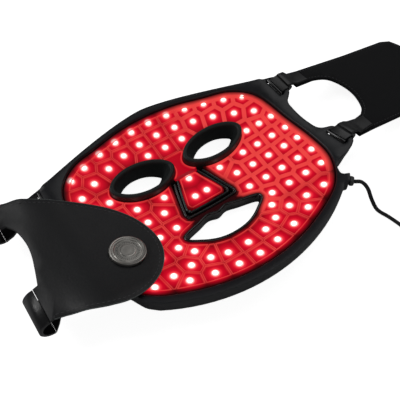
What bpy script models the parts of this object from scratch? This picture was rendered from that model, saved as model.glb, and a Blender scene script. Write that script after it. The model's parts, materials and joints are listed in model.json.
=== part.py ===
"""LED face mask with two head straps and a lead, lying on its outer face.

Lengths are in millimetres and MM turns them into metres. +Z is up, +X is the
wearer-side right where the lead comes out, and +Y points to the forehead. Shapes
are drawn in the face's own plan, centred between the lower nose LEDs, and the
world's origin is the flat spot of the shell between nose and mouth.
"""

import math
from dataclasses import dataclass, field

import bmesh
import bpy
import numpy as np
from mathutils import Vector
from mathutils.geometry import delaunay_2d_cdt

MM = 0.001

# The dish: height of the curved layers over the table at the middle.
DISH_X = 0.00139
DISH_Y = 0.00197
DISH_END_X = 104.0
TAB_SLOPE = 0.05
FLAT_DEPTH = 2.0
TABLE_GAP = 0.2

# Layer levels over the dish.
FOOT = -1.6
FLOOR_TOP = 2.2
CIRCUIT = (2.7, 3.5)
LED_STRIP = (4.0, 4.8)
LED_TOP = 5.6
LINER = (6.1, 7.6)
RIDGE = (2.7, 8.6)
RIM_TOP = 9.4
TAB_BOTTOM = 3.0
TAB_TOP = 7.4
LINING = (10.2, 11.2)
LEATHER = (11.6, 13.0)
HOOK_PATCH = (9.0, 9.7)
GRID = 15.0

# Slots for the strap loops: centres on the wearer-right side.
UPPER_SLOT = (108.5, 45.0)
LOWER_SLOT = (114.3, -26.0)
SLOT_SIZE = (4.6, 18.5)
STRIP_WIDTH = 16.0
BAND_START = 2.8
PIN_RADIUS = 1.2
PIN_PLACE = (-0.95, 0.6)
PIN_SIDES = 10

# Left strap fold: a half-round bend about a line along Y, hinged at its crest.
FOLD_X = -142.0
FOLD_LOW = 12.0
FOLD_HIGH = 28.0
FOLD_RADIUS = (FOLD_HIGH - FOLD_LOW) / 2.0
FOLD_THICKNESS = 2.4
FOLD_GAP = 0.3
UPPER_ARM = (40.5, 61.0)
LOWER_ARM = (-41.5, -15.0)
FOLD_MIDDLE_Y = 10.0


PATCH_CENTRE = (-76.0, -21.0)
PATCH_SIZE = (26.0, 40.0)
PATCH_TURN = -0.48
BADGE_CENTRE = (-76.7, -22.2)
BADGE_RADIUS = 13.0

# Nose flap: hinge line at its upper edge, half way up its thickness.
NOSE_HINGE_Y = 20.5
NOSE_HINGE_Z = 4.8
NOSE_HINGE_GAP = 1.9

# The flat spot between nose and mouth, where the origin lies.
REST_SPOT_Y = -16.25

# Lead: neck on the cheek edge, free run, coil and plug.
LEAD_RADIUS = 1.5
LEAD_TIP = Vector((93.4, -66.4, 23.6))
LEAD_DIRECTION = Vector((0.7071, -0.7071, 0.0))
LEAD_ROUTE = (
    (93.7, -66.7, 23.6),
    (98.5, -70.0, 22.8),
    (101.5, -75.0, 18.0),
    (102.5, -81.0, 10.0),
    (104.0, -88.0, 3.2),
    (107.5, -97.0, 1.6),
    (109.4, -108.0, 1.6),
    (109.8, -120.0, 1.6),
    (109.8, -131.7, 1.8),
)
COIL_CENTRE = (134.6, -132.0)
COIL_RADII = (9.4, 22.9)
COIL_HEIGHTS = (0.3, 6.4)
TAIL_ROUTE = (
    (159.6, -132.3, 4.7),
    (159.6, -124.0, 4.6),
    (161.0, -116.5, 4.4),
    (164.0, -110.0, 4.2),
)


def dish(x, y):
    """Height of the dish over the table, with the parabola ending at the tabs."""
    reach = min(abs(x), DISH_END_X)
    past = max(abs(x) - DISH_END_X, 0.0)
    return DISH_X * reach**2 + TAB_SLOPE * past + DISH_Y * y**2


def ease(value):
    """Smooth step from 0 to 1."""
    t = min(max(value, 0.0), 1.0)
    return t * t * (3.0 - 2.0 * t)


def shell_bottom(x, y):
    """Underside of the shell: flat on the table, raised under the tabs."""
    raised = (FLAT_DEPTH + TAB_BOTTOM) * ease((abs(x) - 100.0) / 7.0)
    return max(dish(x, y) - FLAT_DEPTH + raised, 0.0)


def strap_ease(x):
    """How far the left strap has left the dish for its level run to the fold."""
    return ease((abs(x) - 118.0) / 15.0)


def panel_height(level):
    """Height function of a strap-panel layer at a level over the dish."""
    middle = (LINING[0] + LEATHER[1]) / 2.0

    def height(x, y):
        on_dish = dish(x, y) + level
        level_run = FOLD_HIGH + level - middle
        blend = strap_ease(x)
        return on_dish * (1.0 - blend) + level_run * blend

    return height


def at_level(level):
    """Height function of a layer at a level over the dish."""
    return lambda x, y: dish(x, y) + level


def table_clear(level):
    """Height function of an underside that stays just off the table."""
    return lambda x, y: max(dish(x, y) + level, TABLE_GAP)


@dataclass
class Finish:
    """Colour and surface of one material."""

    name: str
    colour: tuple
    roughness: float
    metallic: float = 0.0

    def material(self):
        """Returns the Principled material, made once."""
        known = bpy.data.materials.get(self.name)
        if known:
            return known
        made = bpy.data.materials.new(self.name)
        made.use_nodes = True
        shader = made.node_tree.nodes["Principled BSDF"]
        shader.inputs["Base Color"].default_value = (*self.colour, 1.0)
        shader.inputs["Roughness"].default_value = self.roughness
        shader.inputs["Metallic"].default_value = self.metallic
        return made


SILICONE = Finish("black_silicone", (0.022, 0.022, 0.024), 0.55)
RED_SILICONE = Finish("red_silicone", (0.75, 0.02, 0.04), 0.4)
FLEX_BOARD = Finish("flex_board", (0.32, 0.02, 0.02), 0.5)
LED_PLASTIC = Finish("led_plastic", (1.0, 0.9, 0.85), 0.3)
CHIP_BOARD = Finish("chip_board", (0.02, 0.18, 0.06), 0.5)
STRAP_LEATHER = Finish("strap_leather", (0.03, 0.031, 0.033), 0.4)
VELOUR = Finish("velour", (0.045, 0.046, 0.05), 0.95)
HOOK = Finish("hook_tape", (0.03, 0.03, 0.03), 0.8)
STEEL = Finish("steel", (0.55, 0.55, 0.53), 0.35, 1.0)
PIN_STEEL = Finish("black_pin", (0.03, 0.03, 0.03), 0.2, 0.6)
LEAD_RUBBER = Finish("lead_rubber", (0.02, 0.02, 0.02), 0.5)


@dataclass
class Ring:
    """A closed outline in plan, with an optional level over the dish on it."""

    points: list
    level: float = None
    hole: bool = False


@dataclass
class Plate:
    """A curved sheet between two height functions, bounded by plan outlines."""

    name: str
    outline: list
    bottom: object
    top: object
    finish: Finish
    rings: list = field(default_factory=list)
    inside_level: object = None
    spacing: float = GRID

    def build(self):
        """Returns the object: triangulated in plan, then given its heights."""
        rings = [Ring(self.outline), *self.rings]
        points, levels, edges = [], [], []
        for ring in rings:
            first = len(points)
            count = len(ring.points)
            points += [tuple(p) for p in ring.points]
            levels += [ring.level] * count
            edges += [(first + i, first + (i + 1) % count) for i in range(count)]
        for place in self.filling(rings):
            points.append(place)
            levels.append(None)
        flat = [Vector(p) for p in points]
        found = delaunay_2d_cdt(flat, edges, [], 0, 1e-5)
        plan, triangles, origin = found[0], found[2], found[3]
        kept = [t for t in triangles if self.holds(centre_of([plan[i] for i in t]), rings)]
        given = [levels[source[0]] if source else None for source in origin]
        return self.solid(plan, kept, given)

    def filling(self, rings):
        """Grid points inside the outline, clear of every ring."""
        xs = [p[0] for p in self.outline]
        ys = [p[1] for p in self.outline]
        step = self.spacing
        places = []
        for i in range(math.floor(min(xs) / step), math.ceil(max(xs) / step) + 1):
            for j in range(math.floor(min(ys) / step), math.ceil(max(ys) / step) + 1):
                place = (i * step + 0.31, j * step + 0.17)
                clear = all(ring_distance(place, ring.points) > 0.35 * step for ring in rings)
                if clear and self.holds(place, rings):
                    places.append(place)
        return places

    def holds(self, place, rings):
        """Whether a plan point is on the sheet's material."""
        if not inside(place, self.outline):
            return False
        return not any(ring.hole and inside(place, ring.points) for ring in rings)

    def solid(self, plan, triangles, given):
        """Makes the closed mesh from the plan triangles."""
        mesh = bmesh.new()
        low, high = [], []
        for place, level in zip(plan, given):
            x, y = place
            if level is None and self.inside_level:
                level = self.inside_level(x, y)
            top = self.top(x, y) if level is None else dish(x, y) + level
            low.append(mesh.verts.new((x * MM, y * MM, self.bottom(x, y) * MM)))
            high.append(mesh.verts.new((x * MM, y * MM, top * MM)))
        used = {}
        for a, b, c in triangles:
            mesh.faces.new((high[a], high[b], high[c]))
            mesh.faces.new((low[c], low[b], low[a]))
            for edge in ((a, b), (b, c), (c, a)):
                used[edge] = used.get(edge, 0) + 1
        for a, b in used:
            if (b, a) not in used:
                mesh.faces.new((low[a], low[b], high[b], high[a]))
        loose = [v for v in mesh.verts if not v.link_faces]
        bmesh.ops.delete(mesh, geom=loose, context="VERTS")
        return finished(self.name, mesh, self.finish)


def build_layer(name, outline, levels, finish, rings=()):
    """Sheet between two levels over the dish."""
    low, high = levels
    Plate(name, outline, at_level(low), at_level(high), finish, list(rings)).build()


def finished(name, mesh, finish):
    """Turns a bmesh into a shaded object with its material."""
    bmesh.ops.recalc_face_normals(mesh, faces=mesh.faces)
    data = bpy.data.meshes.new(name)
    mesh.to_mesh(data)
    mesh.free()
    data.materials.append(finish.material())
    data.shade_smooth()
    data.set_sharp_from_angle(angle=math.radians(35.0))
    made = bpy.data.objects.new(name, data)
    bpy.context.scene.collection.objects.link(made)
    return made


def centre_of(points):
    """Mean of some plan points."""
    return (sum(p[0] for p in points) / len(points), sum(p[1] for p in points) / len(points))


def inside(place, ring):
    """Whether a plan point is inside a closed ring."""
    x, y = place
    result = False
    for (x1, y1), (x2, y2) in zip(ring, [*ring[1:], ring[0]]):
        if (y1 > y) != (y2 > y) and x < (x2 - x1) * (y - y1) / (y2 - y1) + x1:
            result = not result
    return result


def ring_distance(place, ring):
    """Distance from a plan point to a closed ring."""
    a = np.array(ring, float)
    span = np.roll(a, -1, axis=0) - a
    reach = np.array(place) - a
    along = np.clip((reach * span).sum(1) / np.maximum((span**2).sum(1), 1e-12), 0, 1)
    return float(np.linalg.norm(reach - along[:, None] * span, axis=1).min())


def smooth_ring(points, steps):
    """Closed smooth curve through the points, with steps points to a span."""
    count = len(points)
    ring = []
    for i in range(count):
        p0, p1, p2, p3 = (np.array(points[(i + k) % count], float) for k in (-1, 0, 1, 2))
        for j in range(steps):
            t = j / steps
            ring.append(tuple(catmull_rom(p0, p1, p2, p3, t)))
    return ring


def smooth_path(points, steps):
    """Open smooth curve through the points."""
    ends = [np.array(p, float) for p in points]
    ends = [2 * ends[0] - ends[1], *ends, 2 * ends[-1] - ends[-2]]
    path = []
    for i in range(1, len(ends) - 2):
        for j in range(steps):
            path.append(tuple(catmull_rom(*ends[i - 1 : i + 3], j / steps)))
    path.append(tuple(ends[-2]))
    return path


def catmull_rom(p0, p1, p2, p3, t):
    """Point at t between p1 and p2."""
    linear = (p2 - p0) * t
    square = (2 * p0 - 5 * p1 + 4 * p2 - p3) * t**2
    cube = (3 * p1 - p0 - 3 * p2 + p3) * t**3
    return 0.5 * (2 * p1 + linear + square + cube)


def mirrored(right_half):
    """Closed ring of points from its right half, listed top to bottom."""
    left = [(-x, y) for x, y in reversed(right_half) if x > 1e-6]
    return [*right_half, *left]


def filleted(corners, steps=3):
    """Closed ring of corners (x, y, size), each rounded by its size, or kept where that is 0."""
    count = len(corners)
    ring = []
    for i in range(count):
        before, at, after = (np.array(corners[(i + k) % count][:2], float) for k in (-1, 0, 1))
        size = corners[i][2]
        if size == 0.0:
            ring.append(tuple(at))
            continue
        size = min(size, 0.48 * np.linalg.norm(before - at), 0.48 * np.linalg.norm(after - at))
        start = at + (before - at) / np.linalg.norm(before - at) * size
        end = at + (after - at) / np.linalg.norm(after - at) * size
        for j in range(steps + 1):
            t = j / steps
            ring.append(tuple((1 - t) ** 2 * start + 2 * t * (1 - t) * at + t**2 * end))
    return ring


def grown(ring, distance):
    """Ring moved outward by a distance along its normals."""
    points = np.array(ring, float)
    area = np.sum(points[:, 0] * np.roll(points[:, 1], -1) - np.roll(points[:, 0], -1) * points[:, 1])
    along = np.roll(points, -1, axis=0) - np.roll(points, 1, axis=0)
    along /= np.linalg.norm(along, axis=1)[:, None]
    outward = np.stack([along[:, 1], -along[:, 0]], axis=1) * np.sign(area)
    return [tuple(p) for p in points + distance * outward]


def stroke(path, width):
    """Closed outline of an open path drawn with a width."""
    points = np.array(path, float)
    along = np.gradient(points, axis=0)
    along /= np.linalg.norm(along, axis=1)[:, None]
    side = np.stack([-along[:, 1], along[:, 0]], axis=1) * width / 2
    return [tuple(p) for p in [*(points + side), *(points - side)[::-1]]]


def turned(point, angle, centre=(0.0, 0.0)):
    """Plan point turned about a centre."""
    x, y = point
    c, s = math.cos(angle), math.sin(angle)
    return (centre[0] + c * x - s * y, centre[1] + s * x + c * y)


def box_ring(centre, size, angle, round_by):
    """Rounded rectangle in plan."""
    half_x, half_y = size[0] / 2, size[1] / 2
    corners = [(half_x, half_y), (-half_x, half_y), (-half_x, -half_y), (half_x, -half_y)]
    return filleted([(*turned(c, angle, centre), round_by) for c in corners])


def slot_ring(centre, side):
    """Strap slot in a tab, on the given side."""
    return [(side * x, y) for x, y in box_ring(centre, SLOT_SIZE, slot_lean(), 1.2)]


def slot_lean():
    """Lean of the slot line outward towards the chin, in radians."""
    return math.atan2(LOWER_SLOT[0] - UPPER_SLOT[0], UPPER_SLOT[1] - LOWER_SLOT[1])


# ---------------------------------------------------------------- outlines


def mask_half():
    """Right half of the shell's outline, from forehead to chin."""
    forehead = [(x, 89.0 - 30.5 * (x / 100.0) ** 1.6) for x in (0, 12, 25, 38, 52, 66, 80, 93)]
    tabs = [
        (103.0, 57.5, 4.0),
        (116.3, 54.0, 4.0),
        (117.8, 35.5, 4.0),
        (107.6, 27.5, 5.0),
        (106.6, 8.0, 9.0),
        (109.4, -10.5, 6.0),
        (121.5, -14.5, 4.0),
        (123.3, -37.0, 5.0),
        (107.0, -44.0, 8.0),
        (93.0, -46.5, 7.0),
        (88.8, -57.2, 6.0),
    ]
    return forehead, tabs


def chin_half():
    """Right half of the chin arc, from jaw to middle."""
    radius = 160.0
    return [(x, 70.0 - math.sqrt(radius**2 - x**2)) for x in (80, 68, 54, 40, 26, 13, 0)]


def shell_outline():
    """Outline of the shell with its four tabs and the lead's neck."""
    forehead, tabs = mask_half()
    brow = [(x, y, 0.0) for x, y in forehead]
    chin = [(x, y, 0.0) for x, y in chin_half()]
    neck = [(93.6, -60.9, 1.2), (88.0, -66.6, 1.2), (84.5, -64.6, 2.0)]
    plain = [(86.5, -62.5, 6.0)]
    right = [*brow, *tabs, *neck, *chin]
    left = [(-x, y, size) for x, y, size in [*brow[1:], *tabs, *plain, *chin[:-1]]]
    return filleted([*right, *reversed(left)])


def liner_outline():
    """Outline of the lit face area inside the rim."""
    right = [
        (0.0, 82.3),
        (26.0, 80.0),
        (50.0, 73.4),
        (74.5, 64.6),
        (91.0, 46.5),
        (96.3, 14.0),
        (98.6, -14.0),
        (95.5, -38.0),
        (80.5, -59.2),
        (56.0, -71.3),
        (28.0, -79.4),
        (0.0, -82.0),
    ]
    return smooth_ring(mirrored(right), 3)


def eye_ring(side, centre, half, pointed, steps=28):
    """Almond outline of an eye: an ellipse that narrows towards its corners."""
    ring = []
    for i in range(steps):
        angle = 2 * math.pi * i / steps
        c, s = math.cos(angle), math.sin(angle)
        narrow = 1.0 - pointed * abs(c) ** 3
        ring.append((side * (centre[0] + half[0] * c), centre[1] + half[1] * s * narrow))
    return ring


def mouth_outline():
    """Lips opening with a dip in the middle of its upper edge."""
    upper = [(0.0, -23.6), (8.0, -21.6), (17.0, -24.0), (33.5, -29.6)]
    lower = [(25.0, -37.5), (13.0, -43.3), (0.0, -45.0)]
    right = [*upper, *lower]
    return smooth_ring(mirrored(right), 3)


def nose_path(half_top, half_bottom, bottom, top=NOSE_HINGE_Y):
    """Outline of a nose-flap layer, U-shaped from one side of the hinge to the other."""
    right = [(half_bottom - 3.2, bottom), (half_bottom - 0.9, bottom + 1.6), (half_bottom, bottom + 5.0)]
    right.append((half_top, top))
    return [*[(-x, y) for x, y in reversed(right)], *right]


def led_rows():
    """LED places by row: name and plan points."""
    rows = {}
    stations = (17.0, 33.5, 50.0, 66.5, 81.0)
    across = [-x for x in reversed(stations)] + [0.0] + list(stations)
    rows["brow_upper"] = [(x, 77.0 - 0.0033 * x**2) for x in across]
    rows["brow_middle"] = [(x, 64.6 - 0.0040 * x**2) for x in across]
    rows["brow_lower"] = [(x, 51.5) for x in (-16.3, 0.0, 16.3)]
    lean = -0.08
    cheeks = {
        "temple": (29.5, (64.8, 77.0, 89.0)),
        "under_eye": (13.5, (50.0, 64.0, 78.0, 91.0)),
        "cheek_upper": (-0.8, (34.2, 49.2, 64.1, 78.8, 91.5)),
        "cheek_middle": (-17.4, (34.0, 49.2, 64.1, 78.9, 91.9)),
        "cheek_lower": (-33.0, (43.0, 58.6, 73.8, 88.0)),
        "jaw": (-51.2, (44.2, 59.5, 75.0)),
    }
    for name, (y, places) in cheeks.items():
        for side, label in ((-1, "left"), (1, "right")):
            rows[f"{name}_{label}"] = [(side * x, y + lean * (x - 34.0)) for x in places]
    lip_arc = [(35.3, -42.7), (29.3, -54.0), (16.9, -57.8), (0.0, -59.2)]
    rows["lip_arc"] = [(-x, y) for x, y in lip_arc[:-1]] + lip_arc[::-1]
    chin_arc = [(52.6, -62.5), (35.0, -67.2), (17.0, -70.6), (0.0, -72.2)]
    rows["chin_arc"] = [(-x, y) for x, y in chin_arc[:-1]] + chin_arc[::-1]
    return rows


NOSE_LEDS = [(-5.4, 0.0), (0.0, 17.0), (5.4, 0.0)]

EYE_CENTRE = (33.0, 31.2)
CUP_OUTER = (28.0, 15.0)
CUP_TOP_OUTER = (27.0, 14.2)
CUP_TOP_INNER = (23.6, 11.2)
CUP_HOLE_CENTRE = (34.5, 33.4)
CUP_HOLE = (19.0, 8.6)
CUP_POINTED = 0.12
HOLE_POINTED = 0.45
CUP_SHOULDER = 11.5
CUP_TOP = 14.0


# ------------------------------------------------------------------ mask


def build_shell():
    """Black silicone tray with a raised rim and four slotted tabs."""
    liner = liner_outline()

    def top(x, y):
        return dish(x, y) + RIM_TOP - (RIM_TOP - TAB_TOP) * ease((abs(x) - 100.5) / 4.0)

    def level(x, y):
        return FLOOR_TOP if inside((x, y), liner) else None

    rings = [
        Ring(grown(liner, 1.5), RIM_TOP),
        Ring(grown(liner, 0.7), FLOOR_TOP),
        Ring(grown(mouth_outline(), 2.7), FLOOR_TOP, hole=True),
        Ring(nose_path(11.3, 20.6, -13.9, NOSE_HINGE_Y + NOSE_HINGE_GAP), FLOOR_TOP, hole=True),
    ]
    for side in (-1, 1):
        cup = grown(eye_ring(side, EYE_CENTRE, CUP_OUTER, CUP_POINTED), 0.4)
        rings.append(Ring(cup, FLOOR_TOP, hole=True))
        rings.append(Ring(slot_ring(UPPER_SLOT, side), None, hole=True))
        rings.append(Ring(slot_ring(LOWER_SLOT, side), None, hole=True))
    for ring in rings:
        if ring.hole:
            ring.points = oriented(ring.points)
    Plate("outer_shell", shell_outline(), shell_bottom, top, SILICONE, rings, level).build()


def oriented(ring):
    """Ring listed anticlockwise."""
    points = np.array(ring)
    area = np.sum(points[:, 0] * np.roll(points[:, 1], -1) - np.roll(points[:, 0], -1) * points[:, 1])
    return ring if area > 0 else ring[::-1]


def face_holes(gap):
    """Openings that the circuit and the liner leave for cups, lip and nose."""
    holes = [
        Ring(grown(mouth_outline(), 2.7 + gap), hole=True),
        Ring(nose_path(14.8, 24.0, -17.1, NOSE_HINGE_Y + NOSE_HINGE_GAP), hole=True),
    ]
    for side in (-1, 1):
        ring = eye_ring(side, EYE_CENTRE, CUP_OUTER, CUP_POINTED)
        holes.append(Ring(grown(oriented(ring), 0.4 + gap), hole=True))
    return holes


def build_face_layers():
    """Flexible circuit and the translucent liner over the LEDs."""
    circuit = grown(liner_outline(), -1.5)
    build_layer("face_circuit", circuit, CIRCUIT, FLEX_BOARD, face_holes(0.4))
    build_layer("face_liner", liner_outline(), LINER, RED_SILICONE, face_holes(0.0))


def build_led_strip(name, places):
    """One strip with its LED packages standing on it."""
    start = np.array(places[0]) + 2.4 * unit(np.array(places[0]) - np.array(places[1]))
    end = np.array(places[-1]) + 2.4 * unit(np.array(places[-1]) - np.array(places[-2]))
    path = [tuple(start), *places, tuple(end)]
    rings = []
    for x, y in places:
        rings.append(Ring(box_corners((x, y), 1.7), LED_STRIP[1]))
        rings.append(Ring(box_corners((x, y), 1.4), LED_TOP))
    outline = stroke(path, 4.2)
    build_layer(name, outline, LED_STRIP, LED_PLASTIC, rings)


def unit(vector):
    """Vector of length one."""
    return vector / np.linalg.norm(vector)


def box_corners(centre, half):
    """Corners of a small square."""
    x, y = centre
    return [(x - half, y - half), (x + half, y - half), (x + half, y + half), (x - half, y + half)]


def loft(name, sections, finish, closed=False):
    """Skin over rings of points in space, closed into a tube or capped at both ends."""
    mesh = bmesh.new()
    rows = [[mesh.verts.new(Vector(p) * MM) for p in section] for section in sections]
    count = len(rows[0])
    pairs = list(zip(rows, rows[1:]))
    if closed:
        pairs.append((rows[-1], rows[0]))
    for first, second in pairs:
        for i in range(count):
            j = (i + 1) % count
            mesh.faces.new((first[i], first[j], second[j], second[i]))
    if not closed:
        mesh.faces.new(rows[0][::-1])
        mesh.faces.new(rows[-1])
    bmesh.ops.triangulate(mesh, faces=[f for f in mesh.faces if len(f.verts) > 3])
    return finished(name, mesh, finish)


def build_eye_cup(side, label):
    """Raised soft ring round an eye opening, with a sloping inner wall."""
    outer = eye_ring(side, EYE_CENTRE, CUP_OUTER, CUP_POINTED)
    outer_top = eye_ring(side, EYE_CENTRE, CUP_TOP_OUTER, CUP_POINTED)
    inner_top = eye_ring(side, EYE_CENTRE, CUP_TOP_INNER, CUP_POINTED)
    hole = eye_ring(side, CUP_HOLE_CENTRE, CUP_HOLE, HOLE_POINTED)

    def lifted(ring, level):
        return [(x, y, max(dish(x, y) + level, TABLE_GAP)) for x, y in ring]

    sections = [
        lifted(outer, FOOT),
        lifted(outer, CUP_SHOULDER),
        lifted(outer_top, CUP_TOP),
        lifted(inner_top, CUP_TOP - 0.6),
        lifted(hole, 1.5),
        lifted(hole, FOOT),
    ]
    loft(f"eye_cup_{label}", sections, SILICONE, closed=True)


def build_mouth_lip():
    """Thin raised ring round the mouth opening."""
    mouth = mouth_outline()
    hole = [Ring(mouth, hole=True)]
    outline = grown(mouth, 2.3)
    Plate("mouth_lip", outline, table_clear(FOOT), at_level(RIDGE[1]), SILICONE, hole).build()


def build_nose():
    """Nose flap with its own rim, circuit, LEDs and liner, and the slot's rim."""
    slot_path = nose_path(13.4, 22.0, -15.3, 18.0)
    build_layer("nose_slot_rim", stroke(slot_path, 2.4), RIDGE, SILICONE)
    flap = nose_path(10.5, 19.4, -12.7, NOSE_HINGE_Y)
    Plate("nose_flap", flap, table_clear(FOOT), at_level(FLOOR_TOP), SILICONE).build()
    flap_path = nose_path(9.5, 18.2, -11.5, NOSE_HINGE_Y - 1.0)
    build_layer("nose_flap_rim", stroke(flap_path, 2.2), RIDGE, SILICONE)
    inner = nose_path(7.6, 16.2, -9.6, NOSE_HINGE_Y - 0.8)
    build_layer("nose_circuit", inner, CIRCUIT, FLEX_BOARD)
    build_led_strip("nose_led_strip", NOSE_LEDS)
    build_layer("nose_liner", inner, LINER, RED_SILICONE)


# ----------------------------------------------------------------- straps


def slot_frame(slot, side):
    """Local axes at a slot: origin on the tab's top, outward, up and along."""
    lean = slot_lean()
    outward = Vector((side * math.cos(lean), math.sin(lean), TAB_SLOPE))
    reach = 8.0
    high = Vector((-side * math.sin(lean) * reach + side * slot[0], math.cos(lean) * reach + slot[1]))
    low = Vector((side * math.sin(lean) * reach + side * slot[0], -math.cos(lean) * reach + slot[1]))
    rise = dish(*high) - dish(*low)
    along = Vector((high.x - low.x, high.y - low.y, rise)).normalized()
    outward = (outward - outward.dot(along) * along).normalized()
    up = outward.cross(along)
    if up.z < 0:
        up = -up
    origin = Vector((side * slot[0], slot[1], dish(side * slot[0], slot[1]) + TAB_TOP))
    return origin, outward, up, along


def prism(name, profile, frame, width, finish, hole=None):
    """Solid of a profile in the outward-up plane, drawn out along the slot."""
    origin, outward, up, along = frame
    points = [*profile, *(hole or [])]
    edges = [(i, (i + 1) % len(profile)) for i in range(len(profile))]
    first = len(profile)
    if hole:
        edges += [(first + i, first + (i + 1) % len(hole)) for i in range(len(hole))]
    found = delaunay_2d_cdt([Vector(p) for p in points], edges, [], 0, 1e-5)
    plan = found[0]
    kept = []
    for triangle in found[2]:
        middle = centre_of([plan[i] for i in triangle])
        if inside(middle, profile) and not (hole and inside(middle, hole)):
            kept.append(triangle)
    mesh = bmesh.new()
    sides = []
    for shift in (-width / 2, width / 2):
        start = origin + along * shift
        sides.append([mesh.verts.new((start + outward * p[0] + up * p[1]) * MM) for p in plan])
    near, far = sides
    used = {}
    for a, b, c in kept:
        mesh.faces.new((near[a], near[b], near[c]))
        mesh.faces.new((far[c], far[b], far[a]))
        for edge in ((a, b), (b, c), (c, a)):
            used[edge] = True
    for a, b in used:
        if (b, a) not in used:
            mesh.faces.new((near[b], near[a], far[a], far[b]))
    return finished(name, mesh, finish)


LOOP_OUTLINE = [
    (0.5, 1.8),
    (9.0, 1.8),
    (11.5, 0.6),
    (13.5, -0.9),
    (13.5, -3.5),
    (11.5, -5.0),
    (9.0, -6.2),
    (0.5, -6.2),
]
LOOP_HOLE = [(1.9, 0.4), (8.7, 0.4), (10.2, -1.0), (10.2, -3.6), (8.7, -4.8), (1.9, -4.8)]
AXIS_OUT = 14.0
AXIS_UP = -2.2


def build_loop(slot, side, label):
    """Leather loop round the tab's bridge, and the pin that keeps it in the slot."""
    frame = slot_frame(slot, side)
    prism(f"strap_loop_{label}", LOOP_OUTLINE, frame, STRIP_WIDTH, STRAP_LEATHER, LOOP_HOLE)
    out, up = PIN_PLACE
    turns = [math.tau * i / PIN_SIDES for i in range(PIN_SIDES)]
    pin = [(out + PIN_RADIUS * math.cos(a), up + PIN_RADIUS * math.sin(a)) for a in turns]
    prism(f"slot_pin_{label}", pin, frame, STRIP_WIDTH + 2.0, PIN_STEEL)


def loop_end(slot, side, shift, up_shift):
    """Point on the loop's outer end, along the slot and up from its middle."""
    origin, outward, up, along = slot_frame(slot, side)
    return origin + outward * AXIS_OUT + up * (AXIS_UP + up_shift) + along * shift


def build_left_run(slot, arm, label):
    """Leather run from a left loop down to the start of the bend."""
    half = FOLD_THICKNESS / 2
    sections = []
    for t in (0.0, 0.33, 0.67, 1.0):
        low, high = arm
        ends = []
        for shift, target_y in ((-STRIP_WIDTH / 2, low), (STRIP_WIDTH / 2, high)):
            start = loop_end(slot, -1, shift, 0.0)
            stop = Vector((FOLD_X + FOLD_GAP, target_y, FOLD_LOW))
            middle = start.lerp(stop, t)
            middle.z = start.z + (stop.z - start.z) * ease(t)
            ends.append(middle)
        lower, upper = ends
        sections.append(
            [
                lower - Vector((0, 0, half)),
                upper - Vector((0, 0, half)),
                upper + Vector((0, 0, half)),
                lower + Vector((0, 0, half)),
            ]
        )
    loft(f"strap_run_{label}", sections, STRAP_LEATHER)


def build_bends():
    """Quarter bends of strap below and above the crest, on both arms."""
    centre_z = FOLD_LOW + FOLD_RADIUS
    crest = math.pi
    quarter = math.pi / 2.0
    gap = FOLD_GAP / FOLD_RADIUS
    quarters = (("low", crest + quarter, crest + gap), ("high", crest - gap, crest - quarter))
    for label, (near, far) in (("upper", UPPER_ARM), ("lower", LOWER_ARM)):
        for level, start, end in quarters:
            sections = []
            for i in range(6):
                angle = start + (end - start) * i / 5
                section = []
                for side, y in ((-1, near), (-1, far), (1, far), (1, near)):
                    radius = FOLD_RADIUS + side * FOLD_THICKNESS / 2.0
                    x = FOLD_X + radius * math.cos(angle)
                    section.append((x, y, centre_z + radius * math.sin(angle)))
                sections.append(section)
            loft(f"strap_bend_{label}_{level}", sections, STRAP_LEATHER)


def panel_outline(inset):
    """Outline of the left strap folded over the mask, with its tongue towards the chin."""
    tongue = [
        (-120.0, 52.4),
        (-105.0, 43.6),
        (-85.0, 31.6),
        (-68.5, 18.2),
        (-57.0, 1.6),
        (-52.2, -16.5),
        (-54.6, -32.4),
        (-63.8, -46.0),
        (-76.7, -54.4),
        (-90.7, -57.4),
        (-104.0, -55.6),
        (-118.0, -49.6),
        (-132.0, -43.2),
    ]
    cut = [(-138.0, -14.0), (-134.6, -2.0), (-132.0, 9.0), (-131.2, 20.0), (-133.0, 32.0), (-137.6, 40.0)]
    end = FOLD_X + FOLD_GAP
    points = [
        (end, UPPER_ARM[1]),
        (-133.0, UPPER_ARM[1] - 1.5),
        *smooth_path(tongue, 2),
        (-139.0, LOWER_ARM[0] + 0.3),
        (end, LOWER_ARM[0]),
        (end, LOWER_ARM[1]),
        *smooth_path(cut, 2),
        (end, UPPER_ARM[0]),
    ]
    if inset:
        shrunk = grown(points, -inset)
        return [(max(x, end), y) for x, y in shrunk]
    return points


def build_left_panel():
    """Folded strap: leather outside, suede lining, hook patch and badge."""
    layers = (
        ("strap_panel", 0.0, LEATHER, STRAP_LEATHER),
        ("panel_lining", 0.6, LINING, VELOUR),
    )
    for name, inset, (low, high), finish in layers:
        outline = panel_outline(inset)
        Plate(name, outline, panel_height(low), panel_height(high), finish).build()
    patch = box_ring(PATCH_CENTRE, PATCH_SIZE, PATCH_TURN, 5.0)
    build_layer("hook_patch", patch, HOOK_PATCH, HOOK)
    x, y = BADGE_CENTRE
    normal = Vector((-2 * DISH_X * x, -2 * DISH_Y * y, 1.0)).normalized()
    flat = Vector((1.0, 0.0, 0.0))
    flat = (flat - flat.dot(normal) * normal).normalized()
    side = normal.cross(flat)
    foot = Vector((x, y, dish(x, y) + LEATHER[1])) + normal * 0.8

    def disc(radius, lift):
        turns = [2 * math.pi * i / 32 for i in range(32)]
        return [foot + normal * lift + (flat * math.cos(a) + side * math.sin(a)) * radius for a in turns]

    loft("badge", [disc(BADGE_RADIUS, 0.0), disc(BADGE_RADIUS, 1.6), disc(BADGE_RADIUS - 0.6, 2.0)], STEEL)


def strap_axis():
    """Two points on the right strap's hinge line, at the loops' outer ends."""
    return loop_end(LOWER_SLOT, 1, 0.0, 0.0), loop_end(UPPER_SLOT, 1, 0.0, 0.0)


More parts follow.
